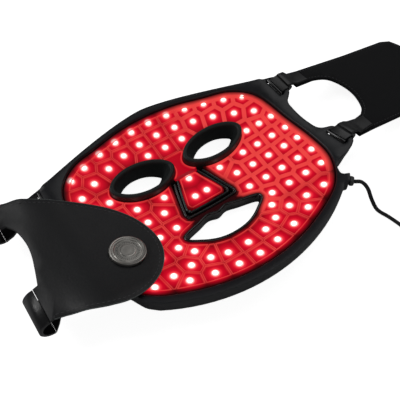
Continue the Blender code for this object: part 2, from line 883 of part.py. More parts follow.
def right_strap_height(lift):
    """Height of the right strap, sloping from the tabs down to the table."""
    low, high = strap_axis()
    run = Vector((high.x - low.x, high.y - low.y))
    across = Vector((run.y, -run.x)).normalized()
    rest = 2.0

    def height(x, y):
        share = (y - low.y) / (high.y - low.y)
        top = low.z + (high.z - low.z) * share
        away = (Vector((x, y)) - Vector((low.x, low.y))).dot(across)
        fall = (1.0 - min(max(away / 150.0, 0.0), 1.0)) ** 1.3
        return rest + (top - rest) * fall + lift

    return height


def along_axis(away, y):
    """Plan point at a distance outside the right hinge line, at a given y."""
    low, high = strap_axis()
    x = low.x + (high.x - low.x) * (y - low.y) / (high.y - low.y)
    return (x + away, y)


def build_right_strap():
    """Wide velour band with an ear opening, and its two leather strips."""
    cut = [
        (136.4, 37.2),
        (149.0, 37.4),
        (161.0, 32.8),
        (167.2, 20.6),
        (167.6, 6.3),
        (161.5, -8.5),
        (152.7, -16.0),
    ]
    outline = [
        along_axis(BAND_START, 36.6),
        along_axis(BAND_START, 53.2),
        (158.0, 53.8),
        (200.0, 53.8),
        (254.0, 53.8),
        (263.5, 50.0),
        (267.5, 40.5),
        (267.5, -20.5),
        (263.5, -30.0),
        (254.0, -33.8),
        (200.0, -33.8),
        (150.0, -33.8),
        along_axis(BAND_START, -34.6),
        along_axis(BAND_START, -17.6),
        (139.5, -18.8),
        *reversed(smooth_path(cut, 2)),
    ]
    low, high = right_strap_height(-1.2), right_strap_height(1.2)
    Plate("strap_band", oriented(outline), low, high, VELOUR, spacing=20.0).build()
    strips = {
        "upper": [along_axis(4.5, 37.6), (139.5, 38.2), (139.5, 52.0), along_axis(4.5, 52.6)],
        "lower": [along_axis(4.5, -33.8), (150.0, -31.6), (150.0, -19.8), along_axis(4.5, -18.4)],
    }
    for label, corners in strips.items():
        low, high = right_strap_height(1.7), right_strap_height(3.0)
        outline = oriented(corners)
        Plate(f"strap_strip_{label}", outline, low, high, STRAP_LEATHER, spacing=8.0).build()


# ------------------------------------------------------------------- lead


def build_driver():
    """Driver board and cable clamp inside the cheek by the lead."""
    board = box_ring((85.0, -45.5), (8.0, 9.0), 0.6, 0.8)
    build_layer("driver_board", board, (4.0, 4.9), CHIP_BOARD)
    clamp = box_ring((81.4, -54.3), (3.4, 3.0), 0.0, 0.6)
    build_layer("cable_clamp", clamp, (4.0, 5.4), LEAD_RUBBER)


def build_strain_relief():
    """Square-shouldered sleeve where the lead leaves the neck."""
    side = Vector((0.7071, 0.7071, 0.0))
    up = Vector((0.0, 0.0, 1.0))
    sections = []
    for back, half_wide, half_high in ((3.3, 3.6, 2.9), (1.0, 3.5, 2.8), (0.0, 3.0, 2.3)):
        centre = LEAD_TIP - LEAD_DIRECTION * back
        corners = [(1, 0.6), (0.6, 1), (-0.6, 1), (-1, 0.6), (-1, -0.6), (-0.6, -1), (0.6, -1), (1, -0.6)]
        sections.append([centre + side * a * half_wide + up * b * half_high for a, b in corners])
    loft("strain_relief", sections, LEAD_RUBBER)


def build_tube(name, route, steps):
    """Stretch of the lead along a smooth route."""
    curve = bpy.data.curves.new(name, "CURVE")
    curve.dimensions = "3D"
    curve.bevel_depth = LEAD_RADIUS * MM
    curve.bevel_resolution = 2
    curve.use_fill_caps = True
    points = smooth_path(route, steps)
    spline = curve.splines.new("POLY")
    spline.points.add(len(points) - 1)
    for target, place in zip(spline.points, points):
        target.co = (*(c * MM for c in place), 1.0)
    curve.materials.append(LEAD_RUBBER.material())
    made = bpy.data.objects.new(name, curve)
    bpy.context.scene.collection.objects.link(made)


def build_coil():
    """Outer shape of the coiled part of the lead."""
    inner, outer = COIL_RADII
    low, high = COIL_HEIGHTS
    rise = 1.7
    start, end = inner + 2.0, outer - 2.0
    upward = [(inner, low + rise), (start, low), (end, low), (outer, low + rise)]
    profile = [*upward, (outer, high - rise), (end, high), (start, high), (inner, high - rise)]
    sections = []
    for i in range(36):
        angle = 2 * math.pi * i / 36
        c, s = math.cos(angle), math.sin(angle)
        ring = []
        for radius, z in profile:
            ring.append((COIL_CENTRE[0] + radius * c, COIL_CENTRE[1] + radius * s, z))
        sections.append(ring)
    loft("lead_coil", sections, LEAD_RUBBER, closed=True)


def build_plug():
    """Plug body and its metal shell at the end of the lead."""
    end = Vector(TAIL_ROUTE[-1])
    before = Vector(TAIL_ROUTE[-2])
    along = end - before
    along.z = 0.0
    along.normalize()
    side = Vector((-along.y, along.x, 0.0))
    up = Vector((0.0, 0.0, 1.0))
    corners = [(1, 0.5), (0.7, 1), (-0.7, 1), (-1, 0.5), (-1, -0.5), (-0.7, -1), (0.7, -1), (1, -0.5)]

    def section(distance, half_wide, half_high):
        centre = end + along * distance
        return [centre + side * a * half_wide + up * b * half_high for a, b in corners]

    neck = [section(0.3, 2.6, 2.4), section(8.0, 3.4, 3.0)]
    grip = [section(10.0, 7.8, 4.0), section(31.0, 7.8, 4.0)]
    loft("plug_body", [*neck, *grip], LEAD_RUBBER)
    loft("plug_shell", [section(31.3, 6.0, 2.25), section(43.0, 6.0, 2.25)], STEEL)


@dataclass
class Carrier:
    """An empty, such as one on a joint's axis, and the pieces that it carries."""

    name: str
    place: Vector
    pieces: list
    parent: object = None

    def hang(self):
        """Makes the empty and hangs its pieces from it, leaving them where they are."""
        made = bpy.data.objects.new(self.name, None)
        bpy.context.scene.collection.objects.link(made)
        if self.parent:
            made.parent = bpy.data.objects[self.parent.name]
            made.location = (self.place - self.parent.place) * MM
        for piece in self.pieces:
            piece.parent = made
            piece.location = -self.place * MM


def hang_pieces():
    """Hangs the moving pieces on their joints' axes, and all the others from the rest spot."""
    pieces = bpy.data.objects
    fixed = Carrier("rest_spot", Vector((0.0, REST_SPOT_Y, 0.0)), [])
    nose = ("nose_flap", "nose_flap_rim", "nose_circuit", "nose_led_strip", "nose_liner")
    nose_place = Vector((0.0, NOSE_HINGE_Y, NOSE_HINGE_Z))
    low, high = strap_axis()
    strap = ("strap_band", "strap_strip_upper", "strap_strip_lower")
    moving = [
        Carrier("nose_flap_hinge", nose_place, [pieces[n] for n in nose], fixed),
        Carrier("right_strap_hinge", (low + high) / 2, [pieces[n] for n in strap], fixed),
    ]
    crest_x = FOLD_X - FOLD_RADIUS - FOLD_THICKNESS / 2.0
    fold_place = Vector((crest_x, FOLD_MIDDLE_Y, FOLD_LOW + FOLD_RADIUS))
    panel = ["strap_panel", "panel_lining", "hook_patch", "badge"]
    panel += ["strap_bend_upper_high", "strap_bend_lower_high"]
    moving.append(Carrier("left_strap_fold", fold_place, [pieces[n] for n in panel], fixed))
    carried = [piece for carrier in moving for piece in carrier.pieces]
    fixed.pieces = [piece for piece in pieces if piece not in carried]
    for carrier in (fixed, *moving):
        carrier.hang()


def main():
    """Clears the scene and builds every piece of the mask."""
    for old in list(bpy.data.objects):
        bpy.data.objects.remove(old, do_unlink=True)
    build_shell()
    build_face_layers()
    for name, places in led_rows().items():
        build_led_strip(f"led_strip_{name}", places)
    for side, label in ((-1, "left"), (1, "right")):
        build_eye_cup(side, label)
        build_loop(UPPER_SLOT, side, f"{label}_upper")
        build_loop(LOWER_SLOT, side, f"{label}_lower")
    build_mouth_lip()
    build_nose()
    build_left_run(UPPER_SLOT, UPPER_ARM, "left_upper")
    build_left_run(LOWER_SLOT, LOWER_ARM, "left_lower")
    build_bends()
    build_left_panel()
    build_right_strap()
    build_driver()
    build_strain_relief()
    build_tube("lead_free", LEAD_ROUTE, 3)
    build_coil()
    build_tube("lead_tail", TAIL_ROUTE, 3)
    build_plug()
    hang_pieces()


main()
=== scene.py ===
"""LED face mask on a pale table: its lit face, straps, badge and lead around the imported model.

Sizes are in millimetres in the face's own plan, centred between the lower nose LEDs.
place() turns them into the metres of the shared frame.
"""

import json
import logging
import math
from collections.abc import Callable, Sequence
from dataclasses import dataclass, field
from enum import Enum

import bmesh
import bpy
import numpy as np
from mathutils import Matrix, Vector
from mathutils.geometry import delaunay_2d_cdt

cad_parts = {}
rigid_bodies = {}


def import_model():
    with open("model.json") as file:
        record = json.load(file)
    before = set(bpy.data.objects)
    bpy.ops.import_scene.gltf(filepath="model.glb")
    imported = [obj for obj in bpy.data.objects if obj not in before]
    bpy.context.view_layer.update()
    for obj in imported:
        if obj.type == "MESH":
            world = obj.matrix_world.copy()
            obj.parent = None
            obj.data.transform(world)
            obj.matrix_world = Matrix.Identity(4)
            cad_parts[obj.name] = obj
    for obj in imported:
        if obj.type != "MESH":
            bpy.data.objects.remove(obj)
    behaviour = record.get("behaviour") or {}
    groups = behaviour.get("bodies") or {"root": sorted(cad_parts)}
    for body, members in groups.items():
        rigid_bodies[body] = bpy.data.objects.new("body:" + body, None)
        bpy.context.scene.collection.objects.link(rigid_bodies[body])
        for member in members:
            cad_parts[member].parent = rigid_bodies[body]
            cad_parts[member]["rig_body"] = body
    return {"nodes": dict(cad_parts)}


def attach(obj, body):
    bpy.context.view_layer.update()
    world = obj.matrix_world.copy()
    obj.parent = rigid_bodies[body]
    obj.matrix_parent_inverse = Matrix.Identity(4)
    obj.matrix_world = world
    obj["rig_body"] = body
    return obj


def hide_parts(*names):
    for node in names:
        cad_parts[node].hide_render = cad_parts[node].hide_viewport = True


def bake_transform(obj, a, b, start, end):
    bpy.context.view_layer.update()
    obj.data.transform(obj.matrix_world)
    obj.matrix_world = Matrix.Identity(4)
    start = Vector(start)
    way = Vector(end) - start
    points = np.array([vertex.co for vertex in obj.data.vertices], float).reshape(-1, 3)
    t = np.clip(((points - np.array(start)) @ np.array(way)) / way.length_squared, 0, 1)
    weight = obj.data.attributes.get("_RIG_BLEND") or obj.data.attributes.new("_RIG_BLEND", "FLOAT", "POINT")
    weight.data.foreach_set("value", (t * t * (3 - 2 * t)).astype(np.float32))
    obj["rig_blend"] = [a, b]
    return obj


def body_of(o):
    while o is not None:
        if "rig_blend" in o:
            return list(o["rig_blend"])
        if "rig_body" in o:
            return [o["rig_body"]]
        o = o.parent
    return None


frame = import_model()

log = logging.getLogger("mask")

MM = 0.001
REST_SPOT_Y = -16.25
GLOW_SPAN = 64.0
Point = tuple[float, float]
Outline = list[Point]
Height = Callable[[float, float], float]
Path = Sequence[Sequence[float]]
Table = tuple[tuple[float, float], ...]


class Body(Enum):
    """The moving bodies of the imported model."""

    MASK = "mask"
    NOSE = "nose_flap_body"
    PANEL = "left_panel"
    STRAP = "right_strap"


# ------------------------------------------------------------------ plan


def place(x: float, y: float, z: float) -> Vector:
    """A point of the plan, in the shared frame's metres."""
    return Vector((x, y - REST_SPOT_Y, z)) * MM


def plan_of(spot: Vector) -> Point:
    """The plan point under a point of the shared frame."""
    return spot.x / MM, spot.y / MM + REST_SPOT_Y


def dish(x: float, y: float) -> float:
    """Height of the dish over the table at a plan point."""
    reach, past = min(abs(x), 104.0), max(abs(x) - 104.0, 0.0)
    return 0.00139 * reach**2 + 0.05 * past + 0.00197 * y**2


def ease(value: float) -> float:
    """Smooth step from 0 to 1."""
    t = min(max(value, 0.0), 1.0)
    return t * t * (3.0 - 2.0 * t)


def at_level(level: float) -> Height:
    """Height function of a layer at a level over the dish."""
    return lambda x, y: dish(x, y) + level


def panel_height(level: float) -> Height:
    """Height function of a layer of the folded left strap, level past the shell's edge."""

    def height(x: float, y: float) -> float:
        blend = ease((abs(x) - 118.0) / 15.0)
        return (dish(x, y) + level) * (1.0 - blend) + (28.0 + level - 11.6) * blend

    return height


def inside_all(points: np.ndarray, ring: Path) -> np.ndarray:
    """Which of many plan points are inside a closed ring."""
    a = np.array(ring, float)
    b = np.roll(a, -1, axis=0)
    x, y = points[:, :1], points[:, 1:2]
    rise = np.where(b[:, 1] == a[:, 1], 1e-12, b[:, 1] - a[:, 1])
    span = (b[:, 1] > y) != (a[:, 1] > y)
    crosses = span & (x < (b[:, 0] - a[:, 0]) * (y - a[:, 1]) / rise + a[:, 0])
    return crosses.sum(1) % 2 == 1


def inside(point: Point, ring: Path) -> bool:
    """Whether a plan point is inside a closed ring."""
    return bool(inside_all(np.array([point]), ring)[0])


def ring_distance(point: Point, ring: Path, gap: bool = False) -> float:
    """Distance from a plan point to a closed ring, or to the ring without its last span."""
    a = np.array(ring, float)
    span = np.roll(a, -1, axis=0) - a
    if gap:
        a, span = a[:-1], span[:-1]
    reach = np.array(point) - a
    along = np.clip((reach * span).sum(1) / np.maximum((span**2).sum(1), 1e-12), 0, 1)
    return float(np.linalg.norm(reach - along[:, None] * span, axis=1).min())


def catmull_rom(points: Sequence[np.ndarray], t: float) -> np.ndarray:
    """Point at t between the second and third of four points."""
    p0, p1, p2, p3 = points
    square = (2 * p0 - 5 * p1 + 4 * p2 - p3) * t**2
    cube = (3 * p1 - p0 - 3 * p2 + p3) * t**3
    return 0.5 * (2 * p1 + (p2 - p0) * t + square + cube)


def smooth_ring(points: Outline, steps: int) -> Outline:
    """Closed smooth curve through the points, with steps points to a span."""
    count, ring = len(points), []
    for i in range(count):
        four = [np.array(points[(i + k) % count], float) for k in (-1, 0, 1, 2)]
        ring += [tuple(catmull_rom(four, j / steps)) for j in range(steps)]
    return ring


def smooth_path(points: Path, steps: int) -> list[tuple]:
    """Open smooth curve through the points, with steps points to a span."""
    ends = [np.array(p, float) for p in points]
    ends = [2 * ends[0] - ends[1], *ends, 2 * ends[-1] - ends[-2]]
    path = []
    for i in range(1, len(ends) - 2):
        path += [tuple(catmull_rom(ends[i - 1 : i + 3], j / steps)) for j in range(steps)]
    return [*path, tuple(ends[-2])]


def resampled(path: Path, step: float) -> list[tuple]:
    """The path with points a step apart."""
    points = np.array(path, float)
    along = np.concatenate([[0.0], np.cumsum(np.linalg.norm(np.diff(points, axis=0), axis=1))])
    at = np.linspace(0.0, along[-1], max(int(along[-1] / step), 2) + 1)
    return [tuple(row) for row in np.stack([np.interp(at, along, c) for c in points.T], axis=1)]


def mirrored(right_half: Outline) -> Outline:
    """Closed ring from its right half, listed top to bottom."""
    return [*right_half, *[(-x, y) for x, y in reversed(right_half) if x > 1e-6]]


def filleted(corners: Path, steps: int = 5) -> Outline:
    """Closed ring of corners (x, y, size), each rounded by its size, or kept where that is 0."""
    count, ring = len(corners), []
    for i in range(count):
        before, at, after = (np.array(corners[(i + k) % count][:2], float) for k in (-1, 0, 1))
        size = corners[i][2]
        if size == 0.0:
            ring.append(tuple(at))
            continue
        back, ahead = np.linalg.norm(before - at), np.linalg.norm(after - at)
        size = min(size, 0.48 * back, 0.48 * ahead)
        start, end = at + (before - at) / back * size, at + (after - at) / ahead * size
        for j in range(steps + 1):
            t = j / steps
            ring.append(tuple((1 - t) ** 2 * start + 2 * t * (1 - t) * at + t**2 * end))
    return ring


def area_of(ring: Path) -> float:
    """Twice a ring's signed area, above 0 where it runs anticlockwise."""
    p = np.array(ring, float)
    return float(np.sum(p[:, 0] * np.roll(p[:, 1], -1) - np.roll(p[:, 0], -1) * p[:, 1]))


def oriented(ring: Outline) -> Outline:
    """The ring listed anticlockwise."""
    return ring if area_of(ring) > 0 else ring[::-1]


def grown(ring: Outline, distance: float) -> Outline:
    """The ring moved outward by a distance along its normals."""
    points = np.array(ring, float)
    along = np.roll(points, -1, axis=0) - np.roll(points, 1, axis=0)
    along /= np.linalg.norm(along, axis=1)[:, None]
    outward = np.stack([along[:, 1], -along[:, 0]], axis=1) * np.sign(area_of(ring))
    return [tuple(p) for p in points + distance * outward]


EYE = ((33.0, 31.2), (28.0, 15.0), 0.12)
SLOTS = {"upper": (108.5, 45.0), "lower": (114.3, -26.0)}
SLOT_LEAN = math.atan2(114.3 - 108.5, 45.0 + 26.0)


def slot_ring(slot: Point, side: int) -> Outline:
    """Strap slot in a tab, leaning outward towards the chin."""
    c, s = math.cos(SLOT_LEAN), math.sin(SLOT_LEAN)
    corners = [(2.3, 9.25), (-2.3, 9.25), (-2.3, -9.25), (2.3, -9.25)]
    turned = [(slot[0] + c * x - s * y, slot[1] + s * x + c * y, 1.2) for x, y in corners]
    return oriented([(side * x, y) for x, y in filleted(turned)])


def shell_outline() -> Outline:
    """Outline of the shell with its four tabs and the lead's neck."""
    across = (0, 6, 12, 19, 25, 32, 38, 45, 52, 59, 66, 73, 80, 87, 93)
    brow = [(x, 89.0 - 30.5 * (x / 100.0) ** 1.6, 0.0) for x in across]
    tabs = [(103.0, 57.5, 4.0), (116.3, 54.0, 4.0), (117.8, 35.5, 4.0), (107.6, 27.5, 5.0)]
    tabs += [(106.6, 8.0, 9.0), (109.4, -10.5, 6.0), (121.5, -14.5, 4.0), (123.3, -37.0, 5.0)]
    tabs += [(107.0, -44.0, 8.0), (93.0, -46.5, 7.0), (88.8, -57.2, 6.0)]
    spans = (80, 74, 68, 61, 54, 47, 40, 33, 26, 19, 13, 6, 0)
    chin = [(x, 70.0 - math.sqrt(160.0**2 - x**2), 0.0) for x in spans]
    neck = [(93.6, -60.9, 1.2), (88.0, -66.6, 1.2), (84.5, -64.6, 2.0)]
    right = [*brow, *tabs, *neck, *chin]
    left = [(-x, y, size) for x, y, size in [*brow[1:], *tabs, (86.5, -62.5, 6.0), *chin[:-1]]]
    return oriented(filleted([*right, *reversed(left)]))


def liner_outline() -> Outline:
    """Outline of the lit face inside the rim."""
    right = [(0.0, 82.3), (26.0, 80.0), (50.0, 73.4), (74.5, 64.6), (91.0, 46.5), (96.3, 14.0)]
    right += [(98.6, -14.0), (95.5, -38.0), (80.5, -59.2), (56.0, -71.3), (28.0, -79.4), (0.0, -82.0)]
    return oriented(smooth_ring(mirrored(right), 6))


def eye_ring(side: int, centre: Point, half: Point, pointed: float) -> Outline:
    """Almond outline of an eye: an ellipse that narrows towards its corners."""
    steps, ring = 64, []
    for i in range(steps):
        c, s = math.cos(math.tau * i / steps), math.sin(math.tau * i / steps)
        narrow = 1.0 - pointed * abs(c) ** 3
        ring.append((side * (centre[0] + half[0] * c), centre[1] + half[1] * s * narrow))
    return ring


def mouth_outline() -> Outline:
    """Lips opening with a dip in the middle of its upper edge."""
    upper = [(0.0, -23.6), (8.0, -21.6), (17.0, -24.0), (33.5, -29.6)]
    lower = [(25.0, -37.5), (13.0, -43.3), (0.0, -45.0)]
    return oriented(smooth_ring(mirrored([*upper, *lower]), 6))


def nose_path(half_top: float, half_bottom: float, bottom: float, top: float) -> Outline:
    """U-shaped path of a nose layer, from one side of the hinge to the other."""
    right = [(half_bottom - 3.2, bottom), (half_bottom - 0.9, bottom + 1.6)]
    right += [(half_bottom, bottom + 5.0), (half_top, top)]
    return [*[(-x, y) for x, y in reversed(right)], *right]


def led_places() -> Outline:
    """All the face's LEDs, row by row."""
    stations = (17.0, 33.5, 50.0, 66.5, 81.0)
    across = [-x for x in reversed(stations)] + [0.0] + list(stations)
    places = [(x, 77.0 - 0.0033 * x**2) for x in across]
    places += [(x, 64.6 - 0.0040 * x**2) for x in across]
    places += [(x, 51.5) for x in (-16.3, 0.0, 16.3)]
    cheeks = (
        (29.5, (64.8, 77.0, 89.0)),
        (13.5, (50.0, 64.0, 78.0, 91.0)),
        (-0.8, (34.2, 49.2, 64.1, 78.8, 91.5)),
        (-17.4, (34.0, 49.2, 64.1, 78.9, 91.9)),
        (-33.0, (43.0, 58.6, 73.8, 88.0)),
        (-51.2, (44.2, 59.5, 75.0)),
    )
    for y, row in cheeks:
        places += [(side * x, y - 0.08 * (x - 34.0)) for side in (-1, 1) for x in row]
    lip_arc = [(35.3, -42.7), (29.3, -54.0), (16.9, -57.8), (0.0, -59.2)]
    chin_arc = [(52.6, -62.5), (35.0, -67.2), (17.0, -70.6), (0.0, -72.2)]
    for arc in (lip_arc, chin_arc):
        places += [(-x, y) for x, y in arc[:-1]] + arc[::-1]
    return [*places, (-26.4, 11.7), (26.4, 11.7)]


# ---------------------------------------------------------------- finishes


class Paint:
    """Node tree of one material, with short ways to add and join nodes."""

    def __init__(self, name: str, colour: Sequence[float], roughness: float, **sockets: float) -> None:
        """Makes the material.

        Args:
            name: The material's name.
            colour: Base colour, linear.
            roughness: Roughness of the surface.
            sockets: Further constants of the shader, such as Sheen_Weight.
        """
        self.material = bpy.data.materials.new(name)
        self.material.use_nodes = True
        self.tree = self.material.node_tree
        self.shader = self.tree.nodes["Principled BSDF"]
        self.shader.inputs["Base Color"].default_value = (*colour, 1.0)
        self.shader.inputs["Roughness"].default_value = roughness
        for socket, value in sockets.items():
            self.shader.inputs[socket.replace("_", " ")].default_value = value

    def node(self, kind: str, inputs: dict | None = None, **settings: object) -> bpy.types.Node:
        """Adds a node.

        Args:
            kind: The node's type name after ShaderNode.
            inputs: Values or output sockets by input name or index.
            settings: Properties of the node.

        Returns:
            The node.
        """
        made = self.tree.nodes.new(f"ShaderNode{kind}")
        for key, value in settings.items():
            setattr(made, key, value)
        for key, value in (inputs or {}).items():
            if isinstance(value, bpy.types.NodeSocket):
                self.tree.links.new(value, made.inputs[key])
            else:
                made.inputs[key].default_value = value
        return made

    def math(self, operation: str, *values: object) -> bpy.types.NodeSocket:
        """Output of a Math node over numbers or sockets."""
        return self.node("Math", dict(enumerate(values)), operation=operation).outputs[0]

    def place(self, scale: Sequence[float] = (1.0, 1.0, 1.0), centre: Vector = Vector(), turn: float = 0.0) -> object:
        """Object coordinates about a centre, turned and scaled."""
        source = self.node("TexCoord").outputs["Object"]
        moved = self.node("Mapping", {"Vector": source, "Location": -centre}).outputs[0]
        return self.node("Mapping", {"Vector": moved, "Rotation": (0.0, 0.0, turn), "Scale": scale}).outputs[0]

    def noise(self, where: object, scale: float, detail: float = 3.0, rough: float = 0.55) -> object:
        """Factor of a noise texture."""
        inputs = {"Vector": where, "Scale": scale, "Detail": detail, "Roughness": rough}
        return self.node("TexNoise", inputs).outputs[0]

    def spread(self, factor: object, low: float, high: float, start: float = 0.0, end: float = 1.0) -> object:
        """A factor between start and end, spread from low to high."""
        return self.node("MapRange", {0: factor, 1: start, 2: end, 3: low, 4: high}).outputs[0]

    def ramp(self, factor: object, stops: Sequence[tuple[float, Sequence[float]]]) -> object:
        """Colour from a ramp with (position, linear colour) stops."""
        made = self.node("ValToRGB", {"Fac": factor})
        ramp = made.color_ramp
        while len(ramp.elements) < len(stops):
            ramp.elements.new(0.5)
        for element, (position, colour) in zip(ramp.elements, stops):
            element.position = position
            element.color = (*colour, 1.0)
        return made.outputs[0]

    def mix(self, factor: object, first: object, second: object, blend: str = "MIX") -> object:
        """Colour between two colours."""
        colours = [v if isinstance(v, bpy.types.NodeSocket) else (*v, 1.0) for v in (first, second)]
        inputs = {0: factor, 6: colours[0], 7: colours[1]}
        return self.node("Mix", inputs, data_type="RGBA", blend_type=blend).outputs[2]

    def attach(self, socket: str, output: object) -> None:
        """Joins an output to one of the shader's sockets."""
        self.tree.links.new(output, self.shader.inputs[socket])

    def glow(self, strength: float, colour: Sequence[float] = (1.0, 1.0, 1.0)) -> None:
        """Makes the surface give off light."""
        self.shader.inputs["Emission Color"].default_value = (*colour, 1.0)
        self.shader.inputs["Emission Strength"].default_value = strength

    def bump(self, height: object, distance: float, strength: float) -> None:
        """Gives the surface a relief, with its depth in millimetres."""
        inputs = {"Height": height, "Distance": distance * MM, "Strength": strength}
        self.attach("Normal", self.node("Bump", inputs).outputs[0])


@dataclass(frozen=True)
class Silicone:
    """Matte moulded silicone with a faint cloudy skin."""

    name: str
    colour: tuple
    roughness: float = 0.55
    coat: float = 0.0
    glow: tuple | None = None

    def material(self) -> bpy.types.Material:
        """Builds the material."""
        paint = Paint(self.name, self.colour, self.roughness, Specular_IOR_Level=0.45, Coat_Weight=self.coat)
        if self.glow:
            paint.glow(1.0, self.glow)
        where = paint.place()
        cloud = paint.noise(where, 60.0)
        paint.attach("Base Color", paint.mix(cloud, self.colour, tuple(c * 1.45 for c in self.colour)))
        low = max(self.roughness - 0.09, 0.05)
        paint.attach("Roughness", paint.spread(cloud, low, self.roughness + 0.09))
        paint.bump(paint.noise(where, 2600.0, 2.0), 0.004 if self.coat else 0.02, 0.4)
        return paint.material


@dataclass(frozen=True)
class Leather:
    """Smooth coated leather with a fine pebble grain and soft creases."""

    name: str
    colour: tuple
    roughness: float
    grain: float = 900.0
    depth: float = 0.05
    sheen: float = 0.0

    def material(self) -> bpy.types.Material:
        """Builds the material."""
        paint = Paint(self.name, self.colour, self.roughness, Sheen_Weight=self.sheen, Sheen_Roughness=0.4)
        where = paint.place()
        pebble = paint.node("TexVoronoi", {"Vector": where, "Scale": self.grain}, feature="SMOOTH_F1")
        crease = paint.noise(paint.place((1.0, 0.45, 1.0), turn=0.6), 85.0, 4.0)
        pale = tuple(c * 1.8 + 0.004 for c in self.colour)
        paint.attach("Base Color", paint.mix(paint.noise(where, 24.0), self.colour, pale))
        low = max(self.roughness - 0.1, 0.1)
        paint.attach("Roughness", paint.spread(crease, low, self.roughness + 0.12))
        paint.bump(paint.math("MULTIPLY_ADD", crease, 1.6, pebble.outputs["Distance"]), self.depth, 0.8)
        return paint.material


@dataclass(frozen=True)
class Cloth:
    """Short-pile cloth with a fine twill under it."""

    name: str
    colour: tuple
    pile: float
    weave: float

    def material(self) -> bpy.types.Material:
        """Builds the material."""
        paint = Paint(self.name, self.colour, 0.92, Sheen_Weight=0.06, Sheen_Roughness=0.5, Specular_IOR_Level=0.2)
        where = paint.place()
        fuzz = paint.noise(where, self.pile, 4.0, 0.7)
        inputs = {"Vector": where, "Scale": self.weave, "Distortion": 0.6, "Detail": 1.0}
        twill = paint.node("TexWave", inputs, wave_type="BANDS", bands_direction="DIAGONAL").outputs["Fac"]
        dark, pale = (tuple(c * share for c in self.colour) for share in (0.55, 1.7))
        cloud = paint.math("MULTIPLY", paint.noise(where, 30.0), 0.5)
        paint.attach("Base Color", paint.mix(cloud, paint.mix(fuzz, dark, pale), self.colour))
        paint.bump(paint.math("MULTIPLY_ADD", twill, 0.6, fuzz), 0.16, 0.7)
        return paint.material


@dataclass(frozen=True)
class Metal:
    """Brushed metal, turned about a centre or drawn along X."""

    name: str
    colour: tuple
    roughness: float
    centre: tuple | None = None

    def material(self) -> bpy.types.Material:
        """Builds the material."""
        paint = Paint(self.name, self.colour, self.roughness, Metallic=1.0)
        if self.centre:
            parts = paint.node("SeparateXYZ", {0: paint.place(centre=Vector(self.centre))}).outputs
            across = paint.math("MULTIPLY", parts[0], parts[0])
            radius = paint.math("SQRT", paint.math("MULTIPLY_ADD", parts[1], parts[1], across))
            lines = paint.noise(paint.node("CombineXYZ", {0: radius}).outputs[0], 5200.0, 2.0)
        else:
            lines = paint.noise(paint.place((0.04, 1.0, 1.0)), 4000.0, 2.0)
        paint.attach("Base Color", paint.mix(lines, tuple(c * 0.55 for c in self.colour), self.colour))
        smudge = paint.noise(paint.place(), 140.0)
        paint.attach("Roughness", paint.spread(smudge, self.roughness - 0.08, self.roughness + 0.12))
        paint.bump(lines, 0.012, 0.7)
        return paint.material


@dataclass(frozen=True)
class LitSilicone:
    """Red silicone lit from inside: hot round each LED, light on the ribs, dark far from them, and painted light that
    widens the rib glow on the face's right side.
    """

    name: str
    reach: float = 15.0
    rib: tuple = (0.95, 0.068, 0.062)
    glow: tuple = (
        (0.0, (1.0, 0.8, 0.8)),
        (0.17, (1.0, 0.42, 0.4)),
        (0.225, (0.92, 0.035, 0.055)),
        (0.34, (0.63, 0.002, 0.018)),
        (0.52, (0.44, 0.0, 0.01)),
        (0.78, (0.17, 0.0, 0.003)),
        (1.0, (0.02, 0.0, 0.001)),
    )
    fade: tuple = ((0.0, (1, 1, 1)), (0.72, (0.85, 0.85, 0.85)), (1.0, (0.02, 0.02, 0.02)))

    def material(self) -> bpy.types.Material:
        """Builds the material."""
        paint = Paint(self.name, (0.03, 0.0, 0.001), 0.4, Specular_IOR_Level=0.12)
        paint.glow(1.0)
        offset = paint.node("UVMap", uv_map="led").outputs[0]
        shifted = paint.node("VectorMath", {0: offset, 1: (0.5, 0.5, 0.0)}, operation="SUBTRACT")
        length = paint.node("VectorMath", {0: shifted.outputs[0]}, operation="LENGTH").outputs["Value"]
        away = paint.math("MULTIPLY", length, GLOW_SPAN / self.reach)
        rib, edge, band = (paint.node("Attribute", attribute_name=n).outputs["Fac"] for n in ("rib", "dark", "band"))
        line = paint.mix(1.0, self.rib, paint.ramp(away, self.fade), "MULTIPLY")
        thin = paint.math("MULTIPLY", rib, paint.spread(paint.noise(paint.place(), 45.0, 2.0), 0.45, 1.0, 0.3, 0.7))
        # Painted light: right of the middle and above the chin, the band by each cell's border takes the rib colour,
        # standing in for the lit rib slopes seen there.
        parts = paint.node("SeparateXYZ", {0: paint.place()}).outputs
        right = paint.spread(parts[0], 0.0, 1.0, 0.008, 0.03)
        upper = paint.spread(parts[1], 0.0, 1.0, -0.042, -0.022)
        right_side_rib_light = paint.math("MULTIPLY", paint.math("MULTIPLY", right, upper), band)
        share = paint.math("MAXIMUM", thin, paint.math("MULTIPLY", right_side_rib_light, 0.9))
        lit = paint.mix(share, paint.ramp(away, self.glow), line)
        paint.attach("Emission Color", paint.mix(edge, lit, (0.006, 0.0, 0.0005)))
        paint.bump(paint.noise(paint.place(), 900.0, 2.0), 0.05, 0.4)
        return paint.material


@dataclass(frozen=True)
class LedGlow:
    """White-hot lamp under clear silicone, pinker round its foot."""

    name: str
    stops: tuple = ((0.0, (1.0, 0.2, 0.2)), (0.25, (1.0, 0.8, 0.72)), (0.6, (1.0, 0.99, 0.88)))

    def material(self) -> bpy.types.Material:
        """Builds the material."""
        paint = Paint(self.name, (0.9, 0.5, 0.5), 0.3)
        paint.glow(1.25)
        height = paint.node("Attribute", attribute_name="rib").outputs["Fac"]
        paint.attach("Emission Color", paint.ramp(height, self.stops))
        return paint.material


